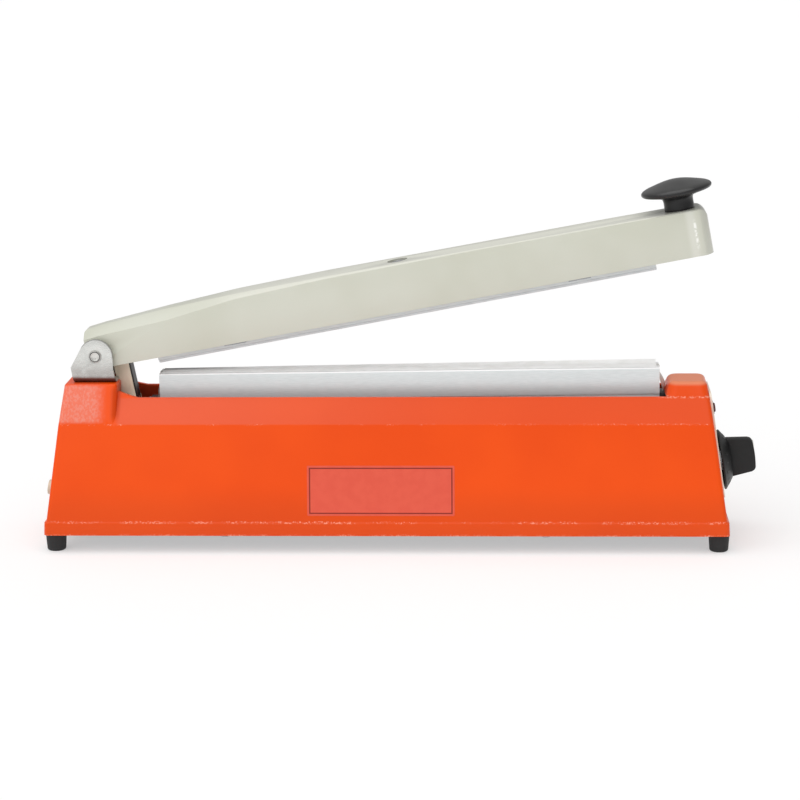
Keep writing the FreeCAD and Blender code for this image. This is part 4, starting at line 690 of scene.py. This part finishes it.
def press_black():
    """Black of the press knob, glossier over its dome than down its stem."""
    finish = moulding("press_black", "272727", "2E2E2D", 0.32)
    up = from_hinge(finish, arm_rise)["Z"]
    dome = (up, cap_low + 1.5 * MM, cap_low + 4.5 * MM)
    feed(finish, blended(finish, between(finish, *dome), "232324", paint_of(finish)), "Base Color")
    feed(finish, between(finish, *dome, 0.35, 0.9), "Specular IOR Level")
    return finish


def ringed_pin():
    """Bright pin with a ring of painted shade on each of its heads."""
    finish = brushed_metal("pin_steel", "E2E1DD", "D2D1CD", 0.25, (6, 6, 6), metallic=0.7)
    x, y, z = split(finish)
    # Painted shade in a ring on the head
    ring = span(finish, distance(finish, x, z, pivot.x, pivot.z), *pin_ring, 0.15 * MM)
    feed(finish, stained(finish, paint_of(finish), ring, 0.85, "24201E"), "Base Color")
    return finish


def laminations():
    """Stacked sheets of the core, seen as fine dark and light lines."""
    finish = new_finish("core_iron", "4A4B4E", 0.5, metallic=0.8)
    stack = add(finish, "TexWave", {"Vector": place_of(finish), "Scale": 320.0}, bands_direction="Y")
    feed(finish, blended(finish, stack.outputs["Fac"], "35363A", "5A5B5F"), "Base Color")
    bumped(finish, stack.outputs["Fac"], 0.5, 0.1 * MM)
    return finish


def winding():
    """Enamelled wire wound round the coil's former."""
    finish = new_finish("coil_copper", "9A5428", 0.35)
    turns = add(finish, "TexWave", {"Vector": place_of(finish), "Scale": 260.0}, bands_direction="Z")
    feed(finish, blended(finish, turns.outputs["Fac"], "6E3615", "B4672F"), "Base Color")
    bumped(finish, turns.outputs["Fac"], 0.6, 0.3 * MM)
    return finish


def circuit_board():
    """Green lacquer over faint copper runs."""
    finish = new_finish("board_green", "1E5A38", 0.35)
    cells = add(finish, "TexVoronoi", {"Vector": place_of(finish), "Scale": 160.0}, distance="MANHATTAN")
    runs = between(finish, cells.outputs["Distance"], 0.34, 0.42)
    feed(finish, blended(finish, runs, "1B5233", "2C7A4A"), "Base Color")
    bumped(finish, runs, 0.3, 0.08 * MM)
    return finish


def moulding(name, shade, other, roughness, grain=1500, depth=0.08 * MM, specular=0.5):
    """Plastic or rubber with a fine grain."""
    finish = new_finish(name, shade, roughness, specular=specular)
    tone = between(finish, cloud(finish, 120, 3), 0.35, 0.65)
    feed(finish, blended(finish, tone, shade, other), "Base Color")
    bumped(finish, cloud(finish, grain, 3), 0.3, depth)
    return finish


def woven_cloth(name, shade, other, roughness, specular):
    """Coated glass cloth: a plain weave under a smooth coat."""
    finish = new_finish(name, shade, roughness, specular=specular)
    place = place_of(finish)
    weave = {"Vector": place, "Scale": weave_scale}
    warp = add(finish, "TexWave", weave, bands_direction="X").outputs["Fac"]
    weft = add(finish, "TexWave", weave, bands_direction="Y").outputs["Fac"]
    crossed = add(finish, "Math", {0: warp, 1: weft}, operation="ADD").outputs[0]
    tone = between(finish, cloud(finish, 90, 3, place), 0.35, 0.65)
    feed(finish, blended(finish, tone, shade, other), "Base Color")
    bumped(finish, crossed, 0.12, 0.05 * MM)
    return finish


def scorched_cloth():
    """The cloth over the ribbon, with painted shade in grey along its far edge near the hinge."""
    finish = woven_cloth("cover_cloth", "FFFFFE", "F6F6F4", 0.45, 0.12)
    x, y, z = split(finish)
    start = pivot.x + bar_start + 1.0 * MM
    # Painted shade along the far edge near the hinge
    near_hinge = between(finish, x, start + far_edge_shade_length, start)
    far_edge_shade = times(finish, near_hinge, between(finish, y, -2.0 * MM, 6.0 * MM))
    feed(finish, stained(finish, paint_of(finish), far_edge_shade, 0.8, "5A5C5E"), "Base Color")
    return finish


def clear_glass():
    """Lens of the lamp."""
    finish = new_finish("lamp_clear", "6A1A12", 0.08)
    shader_of(finish).inputs["Transmission Weight"].default_value = 0.5
    shader_of(finish).inputs["IOR"].default_value = 1.49
    swirl = between(finish, cloud(finish, 300, 2), 0.3, 0.7)
    feed(finish, blended(finish, swirl, "6A1A12", "7C2418"), "Base Color")
    return finish


def inside_film(finish, x, z, margin):
    """1 on the film and 0 nearer to its edge than a margin."""
    across = span(finish, x, film_left + margin, film_right - margin, 0.1 * MM)
    return times(finish, across, span(finish, z, film_low + margin, film_high - margin, 0.1 * MM))


def blank_film():
    """Bare film on the front panel: thin and pinkish, with a dark line inside its edge."""
    finish = new_finish("blank_film", "E25A44", 0.32, specular=0.3)
    place = place_of(finish)
    x, y, z = split(finish, place)
    tone = between(finish, cloud(finish, 160, 3, place), 0.35, 0.65)
    paint = blended(finish, tone, "E05843", "E35C46")
    outer = inside_film(finish, x, z, film_margin)
    inner = inside_film(finish, x, z, film_margin + film_line)
    line = add(finish, "Math", {0: outer, 1: inner}, operation="SUBTRACT").outputs[0]
    feed(finish, stained(finish, paint, line, 0.85, "741A10"), "Base Color")
    bumped(finish, cloud(finish, 900, 2, place), 0.1, 0.05 * MM)
    return finish


finishes = {
    "housing_orange": orange_enamel(),
    "arm_cream": cream_enamel(),
    # Painted light: the leg's cream, the arm's colour, made paler to lift it in the arm's shade
    "leg_beige": plain_enamel("leg_beige", "FFF1DA", "FAE9CF", 0.45),
    # Painted shade: near black for the dark strip on the leg's front, which lies in shade
    "leg_dark": plain_enamel("leg_dark", "1C1413", "241A18", 0.5),
    "plate_steel": brushed_metal("plate_steel", "A9ABAD", "9B9DA0", 0.38, (1, 12, 12)),
    "bracket_steel": stained_bracket(),
    "pin_steel": ringed_pin(),
    "screw_zinc": brushed_metal("screw_zinc", "BFC0C2", "AFB0B3", 0.30, (8, 8, 8)),
    "spring_steel": brushed_metal("spring_steel", "A7A9AB", "97999B", 0.28, (8, 8, 8)),
    "bush_bronze": brushed_metal("bush_bronze", "B08A58", "9E7A4C", 0.38, (8, 8, 8)),
    "bar_aluminium": drawn_bar(),
    "cover_cloth": scorched_cloth(),
    "base_tape": woven_cloth("base_tape", "A88A66", "9A7D5B", 0.45, 0.4),
    "element_alloy": brushed_metal("element_alloy", "E2E1DB", "D2D1CB", 0.34, (1, 10, 10), metallic=0.25),
    "black_plastic": moulding("black_plastic", "1B1B1C", "222223", 0.42),
    "stand_plastic": moulding("stand_plastic", "B7A98F", "A89B82", 0.6),
    "knob_black": moulding("knob_black", "272727", "2E2E2D", 0.32),
    "pointer_white": moulding("pointer_white", "EEECE4", "E4E2DA", 0.4),
    "rubber_black": moulding("rubber_black", "171718", "1E1E1F", 0.62, 900, 0.1 * MM),
    "pad_silicone": moulding("pad_silicone", "D9DCDD", "D0D3D4", 0.42),
    "dial_cream": moulding("dial_cream", "EFE3D2", "E8DBC9", 0.32),
    "lamp_clear": clear_glass(),
    "gland_nylon": moulding("gland_nylon", "D8CDB8", "CCC0AA", 0.45),
    "core_iron": laminations(),
    "coil_copper": winding(),
    "board_green": circuit_board(),
    "relay_blue": moulding("relay_blue", "24407C", "1E386E", 0.4),
    "capacitor_sleeve": moulding("capacitor_sleeve", "22222E", "2A2A36", 0.35),
}

timer_black = moulding("timer_black", "141414", "191919", 0.40, specular=0.35)
cap_black = press_black()
holder_grey = brushed_metal("holder_grey", "DADFDF", "D0D5D5", 0.42, (0.6, 14, 14), metallic=0.2)
film = blank_film()

# Finish of a node that differs from its slot's
own_finishes = {"pad_holder": holder_grey}


def coat(piece, finish):
    """Gives a piece one finish all over."""
    piece.data.materials.clear()
    piece.data.materials.append(finish)
    return piece


def ready(piece, node_names, body, slot, finish=None):
    """Coats a piece, puts it on its body and hides the nodes it stands for."""
    coat(piece, finish or finishes[slot])
    if node_names:
        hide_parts(*node_names)
    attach(piece, body)
    return piece


def coat_cad_nodes():
    """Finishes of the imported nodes, by the record's material slots."""
    for name, node in nodes.items():
        for material_slot in node.material_slots:
            material_slot.material = finishes[slot_of[name]]


# Pieces

def press_knob():
    """Mushroom knob at the nose, turned in one piece with a soft rim."""
    edge_top = cap_low + cap_edge_height
    profile = [
        (stem_radius - 1.5 * MM, knob_foot),
        (stem_radius, knob_foot),
        (stem_radius - 0.4 * MM, knob_foot + 5.0 * MM),
        (stem_radius - 0.3 * MM, cap_low - 3.4 * MM),
        (stem_radius + 1.2 * MM, cap_low - 2.3 * MM),
        (cap_radius - 3.0 * MM, cap_low - 0.5 * MM),
        (cap_radius - 0.8 * MM, cap_low + 0.1 * MM),
        (cap_radius, cap_low + 1.2 * MM),
        (cap_radius, cap_low + 2.2 * MM),
        (cap_radius - 0.9 * MM, edge_top - 0.3 * MM),
        (cap_radius - 3.4 * MM, edge_top + 0.8 * MM),
        (0.64 * cap_radius, knob_top - 2.5 * MM),
        (0.38 * cap_radius, knob_top - 0.9 * MM),
        (0.16 * cap_radius, knob_top - 0.1 * MM),
        (0.0, knob_top),
    ]
    knob = turned("press_knob_cap", profile, 48)
    settle(knob, arm_frame @ Matrix.Translation((knob_along, 0, 0)))
    finished(knob, "SUBSURF", levels=2, render_levels=2)
    smoothed(knob, 60)
    ready(knob, ["press_knob"], "arm", "knob_black", cap_black)


def timer_skirt():
    """Coned skirt of the timer knob, which carries its numbers."""
    low = plate_thickness + knob_gap
    cone_top = low + skirt_height
    profile = [
        (skirt_radius - 2.0 * MM, low + 2.0 * MM),
        (skirt_radius - 2.0 * MM, low),
        (skirt_radius - 0.2 * MM, low),
        (skirt_radius, low + 0.25 * MM),
        (skirt_radius, low + skirt_rim - 0.2 * MM),
        (skirt_radius - 0.35 * MM, low + skirt_rim + 0.05 * MM),
        (grip_base_radius - 0.4 * MM, cone_top - 0.3 * MM),
        (grip_base_radius - 1.4 * MM, cone_top),
        (0.0, cone_top),
    ]
    return turned("timer_knob_body", profile, 96)


def timer_grip():
    """Finger grip: a tapered round with a domed end, flattened on both sides to a faint ridge."""
    low = plate_thickness + knob_gap + skirt_height - 1.0 * MM
    tip = plate_thickness + knob_gap + knob_length
    shoulder = tip - grip_tip_round - 0.4 * MM
    profile = [(0.0, low), (grip_base_radius, low), (grip_tip_radius + 0.2 * MM, shoulder)]
    for step in range(1, 7):
        turn = math.radians(15 * step)
        profile.append((
            grip_tip_radius - grip_tip_round * (1 - math.cos(turn)),
            tip - 0.5 * MM - grip_tip_round * (1 - math.sin(turn)),
        ))
    profile += [(0.35 * grip_tip_radius, tip - 0.08 * MM), (0.0, tip)]
    grip = turned("timer_knob_grip", profile, 96)
    settle(grip, Matrix.Translation((-grip_rise, 0, 0)))
    ridge = grip_width / 2
    reach = 2 * grip_base_radius
    edge = ridge - grip_crease * reach / grip_tip_radius
    slab = flat_outline("grip_slab", [
        (-reach, -edge), (0.0, -ridge), (reach, -edge), (reach, edge), (0.0, ridge), (-reach, edge),
    ], 2 * knob_length)
    finished(grip, "BOOLEAN", operation="INTERSECT", solver="EXACT", object=slab)
    removed(slab)
    finished(grip, "BEVEL", width=grip_edge, segments=3, limit_method="ANGLE", angle_limit=math.radians(40))
    return grip


def timer_knob():
    """Skirt and grip as one moulding."""
    knob = joined([timer_skirt(), timer_grip()])
    settle(knob, end_frame @ outwards)
    smoothed(knob, 35)
    ready(knob, ["timer_knob"], "timer", "knob_black", timer_black)


def dial_numbers():
    """Numbers 1 to 8 round the skirt's cone, with a tick between each two."""
    cone_low = plate_thickness + knob_gap + skirt_rim
    cone_high = plate_thickness + knob_gap + skirt_height
    run = skirt_radius - grip_base_radius + grip_rise
    lean = math.atan2(cone_high - cone_low, run)
    level = cone_low + (skirt_radius - number_radius) * math.tan(lean)
    marks = []
    for number in range(1, 9):
        turn = -dial_turn + (number - 1) * 2 * dial_turn / 7
        spot = Matrix.Rotation(turn, 4, "Z") @ Matrix.Translation((-number_radius, 0, level))
        spot = spot @ Matrix.Rotation(-lean, 4, "Y") @ Matrix.Rotation(math.radians(90), 4, "Z")
        rest_selection()
        bpy.ops.object.text_add(location=(0, 0, 0))
        text = bpy.context.object
        text.data.body = str(number)
        text.data.size = number_height
        text.data.align_x = "CENTER"
        text.data.align_y = "CENTER"
        text.data.extrude = mark_relief
        text.data.resolution_u = 4
        bpy.ops.object.convert(target="MESH")
        marks.append(settle(bpy.context.object, end_frame @ outwards @ spot))
        if number == 8:
            continue
        between_two = Matrix.Rotation(dial_turn / 7, 4, "Z")
        tick = flat_outline("tick", [
            (-0.25 * MM, 1.4 * MM), (-0.25 * MM, -0.6 * MM), (0.25 * MM, -0.6 * MM), (0.25 * MM, 1.4 * MM),
        ], mark_relief)
        marks.append(settle(tick, end_frame @ outwards @ between_two @ spot))
    numbers = joined(marks)
    numbers.name = "dial_numbers"
    ready(numbers, [], "timer", "knob_black")


def index_mark():
    """Small pointed mark on the plate, over the knob's skirt."""
    peak = -skirt_radius - 1.4 * MM
    mark = flat_outline("dial_index", [
        (peak, 0.0), (peak - 4.2 * MM, -1.5 * MM), (peak - 5.0 * MM, 0.0), (peak - 4.2 * MM, 1.5 * MM),
    ], mark_relief)
    settle(mark, end_frame @ outwards @ Matrix.Translation((0, 0, plate_thickness)))
    ready(mark, [], "base", "black_plastic")


def level_strip(name, columns, rows, width, height):
    """Flat grid along the bar's top at a height over it, not yet turned to the bar's slope."""
    rest_selection()
    bpy.ops.mesh.primitive_grid_add(x_subdivisions=columns, y_subdivisions=rows, size=1)
    strip = named(name)
    strip.scale = (cloth_length, width, 1)
    strip.location = (bar_middle, 0, bar_top + height)
    return settle(strip)


def cover_cloth():
    """Cloth stretched along the bar's top, raised over the ribbon and lifting along its far edge."""
    cloth = level_strip("cover_cloth_sheet", 120, 14, cloth_width, cloth_level)
    half = cloth_width / 2
    for vertex in cloth.data.vertices:
        along, across, up = vertex.co
        over_ribbon = math.exp(-(across / ribbon_spread) ** 2)
        ripple = math.sin(along * 190) * math.sin(along * 71 + across * 240)
        far_edge = max(0.0, (across - far_fold) / (half - far_fold))
        near_edge = max(0.0, (-across - near_fold) / (half - near_fold))
        lift = cloth_lift * (along - bar_start) / bar_length * far_edge ** 1.4
        vertex.co.z += ribbon_bump * over_ribbon + cloth_ripple * ripple + lift - near_droop * near_edge
    settle(cloth, bar_frame)
    finished(cloth, "SOLIDIFY", thickness=cloth_thickness, offset=0)
    smoothed(cloth, 50)
    ready(cloth, ["cover_cloth"], "base", "cover_cloth")
    up = bar_frame.to_3x3() @ Vector((0, 0, 1))
    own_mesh(cloth)


def base_tape():
    """Brown cloth under the ribbon, laid on the bar."""
    tape = level_strip("base_tape_sheet", 90, 8, tape_width, tape_level)
    settle(tape, bar_frame)
    finished(tape, "SOLIDIFY", thickness=tape_thickness, offset=0)
    ready(tape, ["insulating_tape"], "base", "base_tape")


def element_ribbon():
    """Flat heating ribbon along the bar, its ends twisted a little on their way down."""
    level = bar_top + ribbon_level
    drop = bar_top - terminal_drop
    right = [
        (bar_end + 0.05 * MM, level, 0),
        (bar_end + 0.30 * MM, level - 0.4 * MM, 0),
        (bar_end + 0.35 * MM, level - 5.0 * MM, 10),
        (bar_end + 1.3 * MM, level - 8.0 * MM, 48),
        (bar_end + 2.4 * MM, level - 11.0 * MM, 65),
        (bar_end + 3.0 * MM, level - 13.5 * MM, 50),
        (bar_end + 2.4 * MM, drop, 0),
    ]
    left = [
        (bar_start - 2.2 * MM, drop, 0),
        (bar_start - 2.0 * MM, level - 13.0 * MM, -20),
        (bar_start - 1.1 * MM, level - 9.5 * MM, -20),
        (bar_start - 0.35 * MM, level - 5.0 * MM, 0),
        (bar_start - 0.30 * MM, level - 0.4 * MM, 0),
        (bar_start - 0.05 * MM, level, 0),
    ]
    path = left + [(bar_start + bar_length * step / 24, level, 0) for step in range(1, 24)] + right
    rest_selection()
    bpy.ops.mesh.primitive_grid_add(x_subdivisions=len(path) - 1, y_subdivisions=2, size=1)
    ribbon = named("element_ribbon")
    rows = sorted({round(vertex.co.x, 5) for vertex in ribbon.data.vertices})
    for vertex in ribbon.data.vertices:
        along, up, twist = path[rows.index(round(vertex.co.x, 5))]
        side = vertex.co.y * ribbon_width
        turn = math.radians(twist)
        vertex.co = (along + side * math.sin(turn), side * math.cos(turn), up)
    finished(ribbon, "SOLIDIFY", thickness=ribbon_thickness, offset=0)
    settle(ribbon, bar_frame)
    smoothed(ribbon, 50)
    ready(ribbon, ["heating_element"], "base", "element_alloy")


def panel_film():
    """Bare film on the front panel, where the machine carries no words."""
    rest_selection()
    bpy.ops.mesh.primitive_plane_add(size=1)
    sheet = named("front_film")
    lean = math.atan2(panel_low[0] - panel_high[0], panel_high[1] - panel_low[1])
    middle = (film_low + film_high) / 2
    share = (middle - panel_low[1]) / (panel_high[1] - panel_low[1])
    front = -(panel_low[0] + share * (panel_high[0] - panel_low[0]))
    sheet.scale = (film_right - film_left, (film_high - film_low) / math.cos(lean), 1)
    settle(sheet)
    choose(sheet, "VERT", lambda place: True)
    bpy.ops.mesh.bevel(offset=film_corner, segments=4, affect="VERTICES")
    rest_selection()
    finished(sheet, "SOLIDIFY", thickness=film_thickness, offset=1)
    place = Matrix.Translation(((film_left + film_right) / 2, front, middle))
    settle(sheet, place @ Matrix.Rotation(math.radians(90) - lean, 4, "X"))
    finished(sheet, "BEVEL", width=film_edge, segments=1, limit_method="ANGLE", angle_limit=math.radians(40))
    ready(sheet, [], "base", "housing_orange", film)


def head_up(x, y, z):
    """Frame of a screw driven downwards, from its place in mm."""
    return Matrix.Translation(Vector((x, y, z)) * MM)


def head_down(x, y, z):
    """Frame of a screw driven upwards, from its place in mm."""
    return head_up(x, y, z) @ Matrix.Rotation(math.pi, 4, "X")


def head_along_x(x, y, z, side):
    """Frame of a screw driven into an end, from its place in mm."""
    return head_up(x, y, z) @ Matrix.Rotation(side * math.pi / 2, 4, "Y")


def screws_below(xs, ys, level):
    """Frames of screws driven upwards from the underside, in rows."""
    return [head_down(x, y, level) for x in xs for y in ys]


def screws():
    """Every screw with its threads and a cross recess, one piece for each group."""
    left = bar_frame @ head_along_x(bar_start / MM - terminal_screw_inset, 0, -32.8, -1)
    right = bar_frame @ head_along_x(bar_end / MM + terminal_screw_inset, 0, -32.8, 1)
    # Node, size, length in mm, frames with the level of the head's underside last
    groups = (
        ("pad_screw", large_screw, 19.69, [arm_frame @ head_up(pad_screw_along / MM, 0, 18.29)]),
        ("press_knob_screw", large_screw, 18.0, [arm_frame @ head_down(knob_along / MM, 0, 10.98)]),
        ("tongue_screws", small_screw, 9.4, [arm_frame @ head_down(x, 0, 1.6) for x in tongue_screw_along]),
        ("hinge_bracket_screws", medium_screw, 10.0, [
            head_up(bracket_screw_x, y, 106.2) for y in bracket_screw_y
        ]),
        ("bottom_plate_screws", medium_screw, 12.2, screws_below(plate_screw_x, plate_screw_y, plate_face)),
        ("foot_screws", medium_screw, 17.95, screws_below(foot_screw_x, foot_screw_y, 5.75)),
        ("board_screws", small_screw, 13.8, screws_below(board_screw_x, board_screw_y, plate_face)),
        ("transformer_screws", small_screw, 5.4, [head_down(x, 0, plate_face) for x in transformer_screw_x]),
        ("terminal_screws", small_screw, 13.0, [left, right]),
    )
    for node, size, length, places in groups:
        master = pan_screw(size, length * MM, screw_pitch)
        copies = [copied(master, f"{node}_{number}", place) for number, place in enumerate(places)]
        removed(master)
        group = joined(copies)
        group.name = node + "_cross"
        ready(group, [node], nodes[node]["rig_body"], slot_of[node])


def soft_edges():
    """Castings, mouldings and sheets with their edges rounded."""
    # Node, width of the rounding in mm, steps across it
    for node, width, segments in (
        ("base_housing", 0.7, 2),
        ("arm_shell", 0.7, 2),
        ("hinge_bracket", 0.2, 2),
        ("hinge_pin", 0.22, 2),
        ("hinge_washers", 0.12, 2),
        ("sealing_bar", 0.25, 2),
        ("pad_holder", 0.25, 2),
        ("silicone_pad", 0.5, 3),
        ("holder_clips", 0.15, 2),
        ("arm_tongue", 0.35, 2),
        ("tongue_striker", 0.2, 2),
        ("dial_plate", 0.25, 2),
        ("lamp_body", 0.2, 2),
        ("cord_gland", 0.4, 3),
        ("terminal_left", 0.4, 2),
        ("terminal_right", 0.4, 2),
        ("bar_stands", 0.3, 2),
        ("arm_stop", 0.5, 2),
        ("switch_body", 0.35, 2),
        ("switch_bracket", 0.15, 1),
        ("bottom_plate", 0.15, 1),
        ("foot_front_left", 0.45, 3),
        ("foot_front_right", 0.45, 3),
        ("foot_rear_left", 0.45, 3),
        ("foot_rear_right", 0.45, 3),
    ):
        piece = softened(node, width * MM, segments)
        ready(piece, [node], nodes[node]["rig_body"], slot_of[node], own_finishes.get(node))


# Studio

def studio():
    """Pale floor and soft light from above and in front."""
    rest_selection()
    bpy.ops.mesh.primitive_plane_add(size=floor_size, location=(0, 0, 0))
    floor = named("studio_floor")
    pale = new_finish("studio_floor", "D2D2D2", 0.9, specular=0.1)
    shader_of(pale).inputs["Emission Color"].default_value = (1, 1, 1, 1)
    shader_of(pale).inputs["Emission Strength"].default_value = floor_glow
    coat(floor, pale)
    world = bpy.data.worlds.new("studio_world")
    world.use_nodes = True
    sky = world.node_tree.nodes["Background"]
    sky.inputs["Color"].default_value = (1, 1, 1, 1)
    sky.inputs["Strength"].default_value = sky_strength
    bpy.context.scene.world = world
    bpy.ops.object.light_add(type="SUN")
    light = bpy.context.object
    light.name = "soft_key_light"
    light.data.energy = key_strength
    light.data.angle = key_spread
    light.rotation_mode = "QUATERNION"
    light.rotation_quaternion = (-Vector(key_from)).to_track_quat("-Z", "Y")
    bpy.context.scene.view_settings.view_transform = "Standard"


def photo_camera():
    """Camera where the photograph was taken from."""
    back = Vector((
        math.sin(camera_yaw) * math.cos(camera_rise),
        -math.cos(camera_yaw) * math.cos(camera_rise),
        math.sin(camera_rise),
    ))
    bpy.ops.object.camera_add(location=camera_target + back * camera_distance)
    camera = bpy.context.object
    camera.name = "photo_camera"
    camera.data.lens = camera_lens
    camera.data.sensor_width = sensor_width
    camera.rotation_mode = "QUATERNION"
    upright = (-back).to_track_quat("-Z", "Y")
    camera.rotation_quaternion = upright @ Quaternion((0, 0, 1), camera_roll)
    bpy.context.scene.camera = camera


studio()
photo_camera()
coat_cad_nodes()
soft_edges()
press_knob()
timer_knob()
dial_numbers()
index_mark()
cover_cloth()
base_tape()
element_ribbon()
panel_film()
screws()
